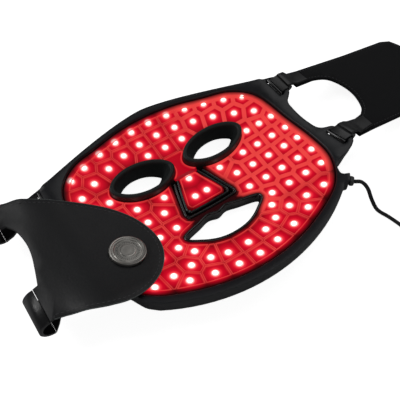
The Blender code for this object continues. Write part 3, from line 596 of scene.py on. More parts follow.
BADGE_PLACE = tuple(place(-76.7, -22.2, 0.0))
FINISHES = {
    "shell": Silicone("shell_silicone", (0.0085, 0.0092, 0.012), 0.4),
    "cup": Silicone("cup_silicone", (0.012, 0.0145, 0.0142), 0.55),
    "rim": Silicone("gloss_silicone", (0.009, 0.008, 0.009), 0.24, 0.5),
    "lit": LitSilicone("lit_silicone"),
    "led": LedGlow("led_glow"),
    "leather": Leather("gloss_leather", (0.008, 0.008, 0.009), 0.3),
    "suede": Leather("soft_leather", (0.0042, 0.0045, 0.0056), 0.5, 620.0, 0.07, 0.06),
    "lining": Cloth("lining_suede", (0.02, 0.02, 0.022), 1500.0, 500.0),
    "weave": Cloth("band_weave", (0.0072, 0.0074, 0.0086), 1300.0, 420.0),
    "edge": Silicone("edge_paint", (0.09, 0.1, 0.1), 0.5),
    "thread": Silicone("thread", (0.065, 0.066, 0.07), 0.7),
    "badge": Metal("badge_metal", (0.62, 0.6, 0.56), 0.34, BADGE_PLACE),
    # Darker copy of the badge metal: painted shade in the bead ring's groove.
    "badge_shaded": Metal("badge_recess_shade", (0.22, 0.22, 0.21), 0.45, BADGE_PLACE),
    "boss": Silicone("boss_silicone", (0.05, 0.052, 0.055), 0.5),
    "dim": Silicone("dim_silicone", (0.02, 0.0, 0.001), 0.45, glow=(0.3, 0.0, 0.008)),
    "steel": Metal("plug_steel", (0.6, 0.6, 0.58), 0.3),
    "pin": Silicone("pin_black", (0.006, 0.006, 0.007), 0.12, 0.8),
    "rubber": Silicone("lead_rubber_skin", (0.012, 0.012, 0.013), 0.45),
    "board": Silicone("board_lacquer", (0.12, 0.008, 0.01), 0.4),
    "chip": Silicone("chip_lacquer", (0.01, 0.09, 0.03), 0.4),
    "hook": Cloth("hook_pile", (0.016, 0.016, 0.016), 1100.0, 900.0),
}
MATERIALS: dict[str, bpy.types.Material] = {}


def finish_of(name: str) -> bpy.types.Material:
    """The material of a finish, made once."""
    if name not in MATERIALS:
        MATERIALS[name] = FINISHES[name].material()
    return MATERIALS[name]


def dress(node: str, finish: str) -> None:
    """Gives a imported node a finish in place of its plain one."""
    materials = frame["nodes"][node].data.materials
    materials.clear()
    materials.append(finish_of(finish))


# ------------------------------------------------------------------ pieces


@dataclass
class Piece:
    """A finished mesh: what it is called, is made of, moves with and stands for."""

    name: str
    finish: str
    slot: str
    body: Body = Body.MASK
    nodes: tuple[str, ...] = ()
    bend: tuple[Body, Body, Vector, Vector] | None = None
    angle: float = 40.0

    def add(self, mesh: bmesh.types.BMesh) -> bpy.types.Object:
        """Turns a bmesh into the piece's object, riding on its body.

        Args:
            mesh: The shape, in the shared frame's metres. It is freed.

        Returns:
            The object.
        """
        bmesh.ops.recalc_face_normals(mesh, faces=mesh.faces)
        data = bpy.data.meshes.new(self.name)
        mesh.to_mesh(data)
        mesh.free()
        data.materials.append(finish_of(self.finish))
        data.shade_smooth()
        data.set_sharp_from_angle(angle=math.radians(self.angle))
        made = bpy.data.objects.new(self.name, data)
        bpy.context.scene.collection.objects.link(made)
        if self.bend:
            first, second, start, end = self.bend
            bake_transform(made, first.value, second.value, start=start, end=end)
        else:
            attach(made, self.body.value)
        if self.nodes:
            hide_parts(*self.nodes)
        log.info("%s: %d faces on %s", self.name, len(data.polygons), body_of(made))
        return made


@dataclass
class Line:
    """A closed line in plan that a sheet's triangles follow, with the top's drop on it."""

    points: Outline
    drop: float = 0.0


@dataclass
class Sheet:
    """A curved sheet between two height functions, with rounded edges."""

    outline: Outline
    bottom: Height
    top: Height
    holes: list[Outline] = field(default_factory=list)
    lines: list[Line] = field(default_factory=list)
    edge: float = 0.6
    spacing: float = 12.0

    def mesh(self) -> bmesh.types.BMesh:
        """Triangulates the sheet in plan and gives it its heights."""
        rings = []
        for ring, inward in ((self.outline, -1), *((hole, 1) for hole in self.holes)):
            rings.append(Line(ring, self.edge))
            for share, drop in ((0.3, 0.3), (1.0, 0.0)):
                rings.append(Line(grown(ring, inward * share * self.edge), drop * self.edge))
        rings += self.lines
        points, drops, edges = [], [], []
        for ring in rings:
            first, count = len(points), len(ring.points)
            points += ring.points
            drops += [ring.drop] * count
            edges += [(first + i, first + (i + 1) % count) for i in range(count)]
        filling = self.filling(rings)
        points += filling
        drops += [0.0] * len(filling)
        vectors = [Vector(p) for p in points]
        plan, _, triangles, sources, _, _ = delaunay_2d_cdt(vectors, edges, [], 0, 1e-4)
        given = [drops[source[0]] if source else 0.0 for source in sources]
        middles = np.array([tuple(p) for p in plan])[np.array(triangles)].mean(axis=1)
        held = inside_all(middles, self.outline)
        for hole in self.holes:
            held &= ~inside_all(middles, hole)
        return self.solid(plan, [t for t, good in zip(triangles, held) if good], given)

    def filling(self, rings: list[Line]) -> Outline:
        """Grid points on the sheet, clear of every line."""
        xs, ys = zip(*self.outline)
        step, found = self.spacing, []
        for i in range(math.floor(min(xs) / step), math.ceil(max(xs) / step) + 1):
            for j in range(math.floor(min(ys) / step), math.ceil(max(ys) / step) + 1):
                point = (i * step + 0.31, j * step + 0.17)
                held = inside(point, self.outline) and not any(inside(point, h) for h in self.holes)
                if held and all(ring_distance(point, r.points) > 0.3 * step for r in rings):
                    found.append(point)
        return found

    def solid(self, plan: list, triangles: list, drops: list[float]) -> bmesh.types.BMesh:
        """Closed mesh of the kept triangles, their underside and the walls between."""
        mesh = bmesh.new()
        high = [mesh.verts.new(place(p.x, p.y, self.top(p.x, p.y) - d)) for p, d in zip(plan, drops)]
        faces = [mesh.faces.new([high[i] for i in triangle]) for triangle in triangles]
        bmesh.ops.delete(mesh, geom=[v for v in mesh.verts if not v.link_faces], context="VERTS")
        rim = [edge for edge in mesh.edges if edge.is_boundary]
        under = bmesh.ops.duplicate(mesh, geom=faces + list(mesh.edges) + list(mesh.verts))
        for part in under["geom"]:
            if isinstance(part, bmesh.types.BMVert):
                part.co.z = self.bottom(*plan_of(part.co)) * MM
        for edge in rim:
            a, b = edge.verts
            mesh.faces.new((b, a, under["vert_map"][a], under["vert_map"][b]))
        return mesh


def loft(sections: Sequence[Path], closed: bool = False) -> bmesh.types.BMesh:
    """Skin over rings of plan points.

    Args:
        sections: Rings of the same number of points (x, y, z) in millimetres.
        closed: Whether the last ring joins the first, instead of both being capped.

    Returns:
        The mesh.
    """
    mesh = bmesh.new()
    loops = []
    for section in sections:
        verts = [mesh.verts.new(place(*p)) for p in section]
        loops.append([mesh.edges.new((verts[i - 1], verts[i])) for i in range(len(verts))])
    for first, second in [*zip(loops, loops[1:]), *([(loops[-1], loops[0])] if closed else [])]:
        bmesh.ops.bridge_loops(mesh, edges=first + second)
    for loop in () if closed else (loops[0], loops[-1]):
        bmesh.ops.edgeloop_fill(mesh, edges=loop)
    return mesh


def sweep(path: Path, profile: Outline, closed: bool = False) -> bmesh.types.BMesh:
    """A profile carried along a path, standing upright.

    Args:
        path: Points (x, y, z) in millimetres.
        profile: Closed profile of (sideways, up) points.
        closed: Whether the path is a loop.

    Returns:
        The mesh.
    """
    points = np.array(path, float)
    turned = np.roll(points, -1, axis=0) - np.roll(points, 1, axis=0)
    sections = []
    for point, ahead in zip(points, turned if closed else np.gradient(points, axis=0)):
        forward = Vector(ahead).normalized()
        side = forward.cross(Vector((0.0, 0.0, 1.0))).normalized()
        up = side.cross(forward)
        sections.append([Vector(point) + side * s + up * u for s, u in profile])
    return loft(sections, closed)


def round_profile(half_wide: float, low: float, high: float) -> Outline:
    """Profile with a flat foot and a half-round top."""
    angles = [math.pi * i / 5 for i in range(6)]
    arc = [(half_wide * math.cos(a), high - half_wide + half_wide * math.sin(a)) for a in angles]
    return [(half_wide, low), *arc, (-half_wide, low)]


def disc_profile(radius: float) -> Outline:
    """Round profile."""
    return [(radius * math.cos(math.tau * i / 8), radius * math.sin(math.tau * i / 8)) for i in range(8)]


def stitches(path: Path, pitch: float, half: tuple[float, float, float]) -> bmesh.types.BMesh:
    """A row of thread stitches along a path.

    Args:
        path: Points (x, y, z) in millimetres.
        pitch: Distance from one stitch to the next.
        half: Half length, width and height of a stitch.

    Returns:
        The mesh, with one small body for each stitch.
    """
    mesh = bmesh.new()
    points = [Vector(p) for p in resampled(path, pitch)]
    size = Matrix.Diagonal((*[h * MM for h in half], 1.0))
    for start, end in zip(points, points[1:]):
        turn = (end - start).normalized().to_track_quat("X", "Z").to_matrix().to_4x4()
        where = Matrix.Translation(place(*(start + end) / 2)) @ turn @ size
        bmesh.ops.create_icosphere(mesh, subdivisions=1, radius=1.0, matrix=where)
    return mesh


def softened(node: str, piece: Piece, width: float) -> bpy.types.Object:
    """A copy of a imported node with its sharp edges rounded.

    Args:
        node: The node it copies and stands for.
        piece: What the copy is.
        width: How wide the rounding is, in millimetres.

    Returns:
        The object.
    """
    mesh = bmesh.new()
    mesh.from_mesh(frame["nodes"][node].data)
    for layer in list(mesh.loops.layers.uv):
        mesh.loops.layers.uv.remove(layer)
    bmesh.ops.remove_doubles(mesh, verts=mesh.verts, dist=2e-6)
    bmesh.ops.dissolve_limit(mesh, angle_limit=math.radians(1.5), verts=mesh.verts, edges=mesh.edges)
    sharp = [e for e in mesh.edges if len(e.link_faces) == 2 and e.calc_face_angle() > math.radians(24)]
    bmesh.ops.bevel(mesh, geom=sharp, offset=width * MM, segments=3, affect="EDGES", profile=0.5, material=-1)
    piece.nodes = (node,)
    return piece.add(mesh)


# -------------------------------------------------------------------- lead


@dataclass(frozen=True)
class Lead:
    """The thin lead: free run, coil, tail, and the pieces on it."""

    radius: float = 1.5
    turns: float = 4.5
    centre: Point = (134.6, -132.0)
    inner: float = 10.95
    layers: Point = (1.7, 4.8)
    route: tuple = (
        (93.7, -66.7, 23.6), (98.5, -70.0, 22.8), (101.5, -75.0, 18.0), (102.5, -81.0, 10.0), (104.0, -88.0, 3.2),
        (107.5, -97.0, 1.6), (109.4, -108.0, 1.6), (109.8, -120.0, 1.6), (109.8, -131.7, 1.7),
    )  # fmt: skip
    tail: tuple = ((159.6, -132.3, 4.7), (159.6, -124.0, 4.6), (161.0, -116.5, 4.4), (164.0, -110.0, 4.2))
    tie_corners: tuple = ((8.9, 0.1, 0.8), (27.0, 0.1, 0.8), (27.0, 7.0, 2.0), (8.9, 7.0, 2.0))
    tie_half: float = 3.5

    def line(self) -> list[tuple]:
        """Centreline of the lead in plan millimetres."""
        (x, y), (low, high) = self.centre, self.layers
        at = (0.0, self.turns, self.turns + 0.5, 2 * self.turns + 0.5)
        radii = (x - self.route[-1][0], self.inner, self.inner, self.tail[0][0] - x)
        steps, coil = 26, []
        for i in range(1, round(at[-1] * steps)):
            radius, rise = np.interp(i / steps, at, radii), np.interp(i / steps, at, (low, low, high, high))
            angle = math.pi + math.tau * i / steps
            coil.append((x + radius * math.cos(angle), y + radius * math.sin(angle), rise))
        return [*smooth_path(self.route, 4), *coil, *smooth_path(self.tail, 5)]

    def build(self) -> None:
        line = self.line()
        curve = bpy.data.curves.new("lead", "CURVE")
        curve.dimensions = "3D"
        curve.bevel_depth = self.radius * MM
        curve.bevel_resolution = 3
        curve.use_fill_caps = True
        spline = curve.splines.new("POLY")
        spline.points.add(len(line) - 1)
        for target, point in zip(spline.points, line):
            target.co = (*place(*point), 1.0)
        curve.materials.append(finish_of("rubber"))
        lead = bpy.data.objects.new("lead", curve)
        bpy.context.scene.collection.objects.link(lead)
        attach(lead, Body.MASK.value)
        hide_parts("lead_free", "lead_coil", "lead_tail")
        plug = softened("plug_body", Piece("plug_grip", "rubber", "lead_rubber"), 0.7)
        shell = softened("plug_shell", Piece("plug_tip", "steel", "steel"), 0.4)
        softened("strain_relief", Piece("lead_sleeve", "boss", "lead_rubber"), 0.5)
        self.tie()

    def tie(self) -> bpy.types.Object:
        """Hook-tape tie round the coil's turns."""
        x, y = self.centre
        outer = oriented(filleted(self.tie_corners, 4))
        inner, half = grown(outer, -0.6), self.tie_half
        pairs = ((outer, half), (outer, -half), (inner, -half), (inner, half))
        sections = [[(x - side, y - r, z) for r, z in ring] for ring, side in pairs]
        return Piece("lead_tie", "hook", "hook_tape").add(loft(sections, closed=True))


# --------------------------------------------------------------- lit face


@dataclass
class Wall:
    """An opening in the lit silicone, with the width of the dark band round it."""

    ring: Outline
    band: float
    gap: bool = False

    def distance(self, point: Point) -> float:
        """Distance from a plan point to the band's outer border."""
        xs, ys = zip(*self.ring)
        far = max(min(xs) - point[0], point[0] - max(xs), min(ys) - point[1], point[1] - max(ys))
        return far if far > self.band + 4.0 else ring_distance(point, self.ring, self.gap) - self.band


@dataclass
class Cells:
    """Cells of the lit silicone: one round each LED, with a raised lip along its border."""

    leds: Outline
    border: Outline
    profile: Table = ((0.0, 7.8), (0.28, 8.35), (0.55, 8.5), (0.82, 8.35), (1.15, 7.2), (1.5, 6.95), (2.1, 6.9))
    rib: Table = ((0.0, 0.0), (0.28, 0.8), (0.55, 1.0), (0.82, 0.9), (1.15, 0.2), (1.5, 0.0))
    band: Table = ((0.0, 1.0), (1.5, 1.0), (2.1, 0.0))
    # band: share of the painted rib light by each cell's border, used on the face's right side.
    ribbed: bool = True
    walls: tuple[Wall, ...] = ()

    def __post_init__(self) -> None:
        """Prepares the arrays that the distances come from."""
        self.places = np.array(self.leds, float)
        self.wall_points = np.array(oriented(self.border), float)
        span = np.roll(self.wall_points, -1, axis=0) - self.wall_points
        normal = np.stack([-span[:, 1], span[:, 0]], axis=1)
        self.wall_normals = normal / np.linalg.norm(normal, axis=1)[:, None]

    def nearest(self, point: Point) -> int:
        """Index of the LED nearest to a plan point."""
        return int(((self.places - np.array(point)) ** 2).sum(1).argmin())

    def border_distance(self, point: Point) -> float:
        """Distance to the border of the point's cell, below 0 outside all cells."""
        wall = float(((np.array(point) - self.wall_points) * self.wall_normals).sum(1).min())
        wall = min([wall, *[w.distance(point) for w in self.walls]])
        if not self.ribbed:
            return wall
        squares = ((self.places - np.array(point)) ** 2).sum(1)
        own = int(squares.argmin())
        gaps = np.linalg.norm(self.places - self.places[own], axis=1)
        gaps[own] = np.inf
        halves = (squares - squares[own]) / (2 * gaps)
        halves[own] = np.inf
        return min(wall, float(halves.min()))

    def polygon(self, own: int, inset: float, split: bool = True) -> Outline:
        """The cell of one LED, moved inward."""
        shape = [(-200.0, -200.0), (200.0, -200.0), (200.0, 200.0), (-200.0, 200.0)]
        gaps = np.linalg.norm(self.places - self.places[own], axis=1)
        for other in np.argsort(gaps)[1:22] if split else ():
            toward = (self.places[own] - self.places[other]) / gaps[other]
            middle = (self.places[own] + self.places[other]) / 2
            shape = clipped(shape, middle + toward * inset, toward)
        for point, normal in zip(self.wall_points, self.wall_normals):
            if shape and ((np.array(shape) - point) @ normal).min() < inset:
                shape = clipped(shape, point + inset * normal, normal)
        return shape

    def lines(self) -> list[Line]:
        """The borders of all cells, at each step of the lip's profile."""
        insets = [inset for inset, _ in self.profile]
        found = [] if self.ribbed else [self.polygon(0, inset, split=False) for inset in insets]
        for own in range(len(self.places)):
            found += [self.polygon(own, inset) for inset in (insets if self.ribbed else (0.0,))]
        for wall in self.walls:
            found += [grown(wall.ring, wall.band + inset) for inset in insets]
        return [Line(shape) for shape in found if len(shape) > 2]

    def value(self, point: Point, table: Table) -> float:
        """Value of the lip's profile, or of its light, at a plan point."""
        return float(np.interp(self.border_distance(point), [t[0] for t in table], [t[1] for t in table]))


def clipped(shape: Outline, point: np.ndarray, normal: np.ndarray) -> Outline:
    """The part of a convex polygon on a line's inner side."""
    kept = []
    for i in range(len(shape)):
        a, b = np.array(shape[i]), np.array(shape[(i + 1) % len(shape)])
        da, db = float((a - point) @ normal), float((b - point) @ normal)
        if da >= 0:
            kept.append(tuple(a))
        if (da > 0 > db) or (da < 0 < db):
            kept.append(tuple(a + (b - a) * da / (da - db)))
    return kept


@dataclass(frozen=True)
class LitFace:
    """The glowing silicone of the face, its LEDs and the nose flap's part of it."""

    rim: float = 3.4
    bridge: Point = (0.0, 33.0)
    bridge_tone: float = 7.5
    dome: Point = (2.45, 1.5)
    dome_foot: float = 6.7
    nose_leds: tuple = ((-5.4, 0.0), (0.0, 17.0), (5.4, 0.0))

    def build(self) -> None:
        """Makes the lit sheets and the LED lenses."""
        outline, leds = liner_outline(), led_places()
        holes = [grown(oriented(eye_ring(side, *EYE)), 0.2) for side in (-1, 1)]
        holes += [grown(mouth_outline(), 2.1), oriented(nose_path(14.8, 24.0, -17.1, 22.4))]
        walls = [Wall(holes[0], 0.5), Wall(holes[1], 0.5), Wall(holes[2], 2.4)]
        walls.append(Wall(nose_path(14.8, 24.0, -17.1, 22.4), 2.2, gap=True))
        cells = Cells([*leds, self.bridge], oriented(grown(outline, -self.rim)), walls=tuple(walls))
        piece = Piece("face_cells", "lit", "red_silicone", nodes=("face_liner",), angle=50.0)
        self.sheet(piece, cells, outline, holes)
        self.lenses(Piece("led_lenses", "led", "led_plastic"), leds)
        nose = oriented(nose_path(7.9, 16.6, -9.9, 19.7))
        cells = Cells(list(self.nose_leds), oriented(grown(nose, -0.9)), ribbed=False)
        piece = Piece("nose_cell", "lit", "red_silicone", Body.NOSE, ("nose_liner",), angle=50.0)
        self.sheet(piece, cells, nose, [])
        self.lenses(Piece("nose_lenses", "led", "led_plastic", Body.NOSE), self.nose_leds)

    def sheet(self, piece: Piece, cells: Cells, outline: Outline, holes: list[Outline]) -> None:
        """Makes one lit sheet.

        Args:
            piece: What the sheet is.
            cells: Its cells, whose LED offsets become UVs and whose lips and edges attributes.
            outline: Its border.
            holes: Its openings.
        """

        def top(x: float, y: float) -> float:
            return dish(x, y) + cells.value((x, y), cells.profile)

        mesh = Sheet(outline, at_level(6.1), top, holes, cells.lines(), edge=0.0, spacing=400.0).mesh()
        uv = mesh.loops.layers.uv.new("led")
        rib, dark, band = (mesh.verts.layers.float.new(name) for name in ("rib", "dark", "band"))
        for vert in mesh.verts:
            point = plan_of(vert.co)
            vert[rib] = cells.value(point, cells.rib)
            if not cells.ribbed:
                continue
            past = min(wall.distance(point) for wall in cells.walls)
            border = 1.0 - ease((ring_distance(point, outline) - 0.2) / self.rim)
            vert[dark] = max(border, 0.93 * ease(-past / 0.6))
            # Band by the cell's border, where the shader paints broader rib light on the face's right side.
            vert[band] = cells.value(point, cells.band)
        for face in mesh.faces:
            own = cells.places[cells.nearest(plan_of(face.calc_center_median()))]
            dim = tuple(own) == self.bridge
            for loop in face.loops:
                x, y = plan_of(loop.vert.co)
                across, along = (self.bridge_tone, 0.0) if dim else (x - own[0], y - own[1])
                loop[uv].uv = (0.5 + across / GLOW_SPAN, 0.5 + along / GLOW_SPAN)
        piece.add(mesh)

    def lenses(self, piece: Piece, leds: Path) -> None:
        """Low domes over the LEDs."""
        mesh = bmesh.new()
        wide, tall = self.dome
        size = Matrix.Diagonal((wide * MM, wide * MM, tall * MM, 1.0))
        for x, y in leds:
            where = Matrix.Translation(place(x, y, dish(x, y) + self.dome_foot)) @ size
            bmesh.ops.create_uvsphere(mesh, u_segments=10, v_segments=6, radius=1.0, matrix=where)
        light = mesh.verts.layers.float.new("rib")
        for vert in mesh.verts:
            near = min(leds, key=lambda led: math.dist(led, plan_of(vert.co)))
            vert[light] = min(max((vert.co.z / MM - dish(*near) - self.dome_foot) / tall, 0.0), 1.0)
        piece.add(mesh)


# ------------------------------------------------------------------- mask


@dataclass(frozen=True)
class Mask:
    """The shell, eye cups, lip and nose rims."""

    cup_sides: tuple = (
        (28.0, 15.0, -1.6), (28.0, 15.0, 8.0), (28.0, 15.0, 11.9), (27.75, 14.75, 13.0), (27.1, 14.15, 13.75),
        (26.2, 13.4, 14.0), (25.0, 12.4, 13.95), (24.1, 11.6, 13.5), (23.5, 11.1, 12.5),
    )  # fmt: skip
    cup_well: Table = ((0.35, 8.5), (0.75, 4.0), (1.0, 1.3), (1.0, -1.6))
    ridge_top: float = 8.6
    plain: tuple = (
        ("face_circuit", "board"),
        ("nose_circuit", "board"),
        ("driver_board", "chip"),
        ("cable_clamp", "rubber"),
    )

    def build(self) -> None:
        """Makes the mask's moulded pieces."""
        self.shell()
        for side, label in ((-1, "left"), (1, "right")):
            self.eye_cup(side, label)
        self.mouth_lip()
        self.nose()
        for node, finish in self.plain:
            dress(node, finish)
        for node in frame["nodes"]:
            if node.startswith("led_strip") or node == "nose_led_strip":
                dress(node, "board")

    def shell(self) -> None:
        """Black silicone tray with a rounded rim and four slotted tabs."""
        liner = liner_outline()
        well = grown(liner, 0.72)

        def top(x: float, y: float) -> float:
            if inside((x, y), well):
                return dish(x, y) + 2.2
            return dish(x, y) + 9.4 - 2.0 * ease((abs(x) - 100.5) / 4.0)

        def bottom(x: float, y: float) -> float:
            return max(dish(x, y) - 2.0 + 5.0 * ease((abs(x) - 100.0) / 7.0), 0.0)

        lines = [Line(grown(liner, out), drop) for out, drop in ((1.9, 0.0), (1.2, 0.2), (0.75, 0.9), (0.7, 0.0))]
        holes = [grown(mouth_outline(), 2.7), oriented(nose_path(11.3, 20.6, -13.9, 22.4))]
        for side in (-1, 1):
            holes.append(grown(oriented(eye_ring(side, *EYE)), 0.4))
            holes += [slot_ring(slot, side) for slot in SLOTS.values()]
        sheet = Sheet(shell_outline(), bottom, top, holes, lines, edge=0.8, spacing=9.0)
        Piece("shell_body", "shell", "black_silicone", nodes=("outer_shell",), angle=50.0).add(sheet.mesh())

    def eye_cup(self, side: int, label: str) -> None:
        """Raised soft ring round an eye opening, with a rounded crown and a sloping inner wall."""
        levels = [(eye_ring(side, EYE[0], (x, y), EYE[2]), level) for x, y, level in self.cup_sides]
        outer = eye_ring(side, EYE[0], self.cup_sides[-1][:2], EYE[2])
        hole = eye_ring(side, (34.5, 33.4), (19.0, 8.6), 0.45)
        for t, level in self.cup_well:
            ring = [((1 - t) * a + t * c, (1 - t) * b + t * d) for (a, b), (c, d) in zip(outer, hole)]
            levels.append((ring, level))
        sections = [[(x, y, max(dish(x, y) + level, 0.2)) for x, y in ring] for ring, level in levels]
        piece = Piece(f"eye_ring_{label}", "cup", "black_silicone", nodes=(f"eye_cup_{label}",), angle=60.0)
        piece.add(loft(sections, closed=True))

    def mouth_lip(self) -> None:
        """Thin rounded ring round the mouth opening."""
        path = [(x, y, dish(x, y)) for x, y in grown(mouth_outline(), 1.15)]
        profile = round_profile(1.15, 0.25 - min(z for _, _, z in path), self.ridge_top)
        piece = Piece("lip_ring", "rim", "black_silicone", nodes=("mouth_lip",), angle=60.0)
        piece.add(sweep(path, profile, closed=True))

    def nose(self) -> None:
        """Nose flap, the two U-shaped rims, and the thin web over its hinge."""
        for name, path, half, body, node in (
            ("slot_ridge", nose_path(13.4, 22.0, -15.3, 18.0), 1.2, Body.MASK, "nose_slot_rim"),
            ("flap_ridge", nose_path(9.5, 18.2, -11.5, 19.5), 1.1, Body.NOSE, "nose_flap_rim"),
        ):
            line = [(x, y, dish(x, y)) for x, y in resampled(smooth_path(path, 6), 0.9)]
            piece = Piece(name, "rim", "black_silicone", body, (node,), angle=60.0)
            piece.add(sweep(line, round_profile(half, 2.7, self.ridge_top)))
        dress("nose_flap", "shell")
        web = oriented([(-9.8, 19.9), (9.8, 19.9), (10.6, 23.0), (-10.6, 23.0)])
        sheet = Sheet(web, at_level(6.3), at_level(7.0), edge=0.2, spacing=2.0)
        bend = (Body.NOSE, Body.MASK, place(0, 20.2, 5), place(0, 22.6, 5))
        Piece("nose_web", "dim", "red_silicone", bend=bend).add(sheet.mesh())


# ----------------------------------------------------------------- straps


@dataclass
class SlotFrame:
    """Local axes at a right strap slot: outward, up and along the slot."""

    slot: Point

    def __post_init__(self) -> None:
        """Works out the axes."""
        (x, y), s, c = self.slot, math.sin(SLOT_LEAN), math.cos(SLOT_LEAN)
        outward, reach = Vector((c, s, 0.05)), 8.0
        high, low = Vector((x - s * reach, y + c * reach)), Vector((x + s * reach, y - c * reach))
        self.along = Vector((high.x - low.x, high.y - low.y, dish(*high) - dish(*low))).normalized()
        self.outward = (outward - outward.dot(self.along) * self.along).normalized()
        self.up = self.outward.cross(self.along)
        if self.up.z < 0:
            self.up = -self.up
        self.origin = Vector((x, y, dish(x, y) + 7.4))

    def at(self, out: float, up: float, shift: float) -> Vector:
        """A plan point by its place along the three axes."""
        return self.origin + self.outward * out + self.up * up + self.along * shift

    def hinge(self) -> Vector:
        """The point of the strap's hinge line at this slot."""
        return self.at(14.0, -2.2, 0.0)


@dataclass(frozen=True)
class RightStrap:
    """Wide woven band with an ear opening, and the two leather strips that carry it."""

    start: float = 2.8
    half_thick: float = 1.2
    strips: tuple = (
        ("upper", (37.6, 52.6), ((139.5, 38.2), (139.5, 52.0))),
        ("lower", (-33.8, -18.4), ((150.0, -31.6), (150.0, -19.8))),
    )
    crown: Table = (
        (0.0, 0.0), (0.0, 0.7), (0.04, 1.15), (0.12, 1.35), (0.5, 1.5), (0.88, 1.35), (0.96, 1.15), (1.0, 0.7), (1.0, 0.0),
    )  # fmt: skip

    def build(self) -> None:
        """Makes the band and its strips."""
        self.band()
        for label, near, far in self.strips:
            self.strip(label, near, far)

    def axis(self) -> tuple[Vector, Vector]:
        """Two points on the strap's hinge line, lower one first."""
        return SlotFrame(SLOTS["lower"]).hinge(), SlotFrame(SLOTS["upper"]).hinge()

    def off_axis(self, away: float, y: float) -> Point:
        """Plan point at a distance outside the hinge line."""
        low, high = self.axis()
        return (low.x + (high.x - low.x) * (y - low.y) / (high.y - low.y) + away, y)

    def height(self, lift: float) -> Height:
        """Height function of the strap, sloping from the tabs down to the table."""
        low, high = self.axis()
        across = Vector((high.y - low.y, low.x - high.x)).normalized()

        def height(x: float, y: float) -> float:
            top = low.z + (high.z - low.z) * (y - low.y) / (high.y - low.y)
            away = (Vector((x, y)) - Vector((low.x, low.y))).dot(across)
            return 2.0 + (top - 2.0) * (1.0 - min(max(away / 150.0, 0.0), 1.0)) ** 1.3 + lift

        return height

    def outline(self) -> Outline:
        """The band's outline, with the ear opening cut into it."""
        cut = [(136.4, 37.2), (149.0, 37.4), (161.0, 32.8), (167.2, 20.6), (167.6, 6.3), (161.5, -8.5), (152.7, -16.0)]
        far = [(254.0, 53.8), (263.5, 50.0), (267.5, 40.5), (267.5, -20.5), (263.5, -30.0), (254.0, -33.8)]
        corners = [self.off_axis(self.start, y) for y in (36.6, 53.2, -34.6, -17.6)]
        ring = [*corners[:2], (158.0, 53.8), (200.0, 53.8), *far, (200.0, -33.8), (150.0, -33.8)]
        return oriented([*ring, *corners[2:], (139.5, -18.8), *reversed(smooth_path(cut, 5))])

    def band(self) -> None:
        """The woven band and its hem's stitches."""
        outline, top = self.outline(), self.height(self.half_thick)
        sheet = Sheet(outline, self.height(-self.half_thick), top, edge=0.7, spacing=9.0)
        Piece("band_cloth", "weave", "velour", Body.STRAP, ("strap_band",), angle=60.0).add(sheet.mesh())
        seam = [(x, y, top(x, y)) for x, y in grown(outline, -2.6)]
        hem = stitches([*seam, seam[0]], 3.4, (1.25, 0.24, 0.2))
        Piece("band_stitches", "thread", "strap_leather", Body.STRAP).add(hem)

    def strip(self, label: str, near: Point, far: tuple[Point, Point]) -> None:
        """A leather strip from the loop's top over the hinge onto the band.

        Args:
            label: Which slot it comes from.
            near: Its two sides just past the hinge line.
            far: Its two far corners.
        """
        axes, top = SlotFrame(SLOTS[label]), self.height(1.45)
        rows = []
        for out, up in ((8.6, 1.85), (10.4, 1.7), (12.2, 1.25), (14.0, 0.55), (16.0, -0.1)):
            rows.append([axes.at(out, up, -7.8), axes.at(out, up, 7.8)])
        starts = [self.off_axis(4.8, side) for side in near]
        for share in (0.0, 0.25, 0.5, 0.75, 1.0):
            row = [(x0 + (x1 - x0) * share, y0 + (y1 - y0) * share) for (x0, y0), (x1, y1) in zip(starts, far)]
            rows.append([Vector((x, y, top(x, y) + 0.1)) for x, y in row])

        def across(share: float, lift: float) -> list[Vector]:
            return [low.lerp(high, share) + Vector((0.0, 0.0, lift)) for low, high in rows]

        sections = list(zip(*[across(share, lift) for share, lift in self.crown]))
        mid, turn = axes.hinge(), axes.outward * 2.2
        bend = (Body.MASK, Body.STRAP, place(*(mid - turn)), place(*(mid + turn)))
        nodes = (f"strap_strip_{label}",)
        Piece(f"strip_{label}", "leather", "strap_leather", nodes=nodes, bend=bend, angle=50.0).add(loft(sections))
        for edge, share in (("low", 0.1), ("high", 0.9)):
            made = stitches(smooth_path(across(share, 1.42), 4), 2.6, (0.95, 0.2, 0.16))
            Piece(f"strip_{label}_{edge}_seam", "thread", "strap_leather", bend=bend).add(made)
        low, high = rows[-1]
        end = [low.lerp(high, t) + Vector((0.1, 0.0, 0.8)) for t in (0.03, 0.35, 0.65, 0.97)]
        Piece(f"strip_{label}_end", "edge", "strap_leather", Body.STRAP).add(sweep(end, disc_profile(0.35)))


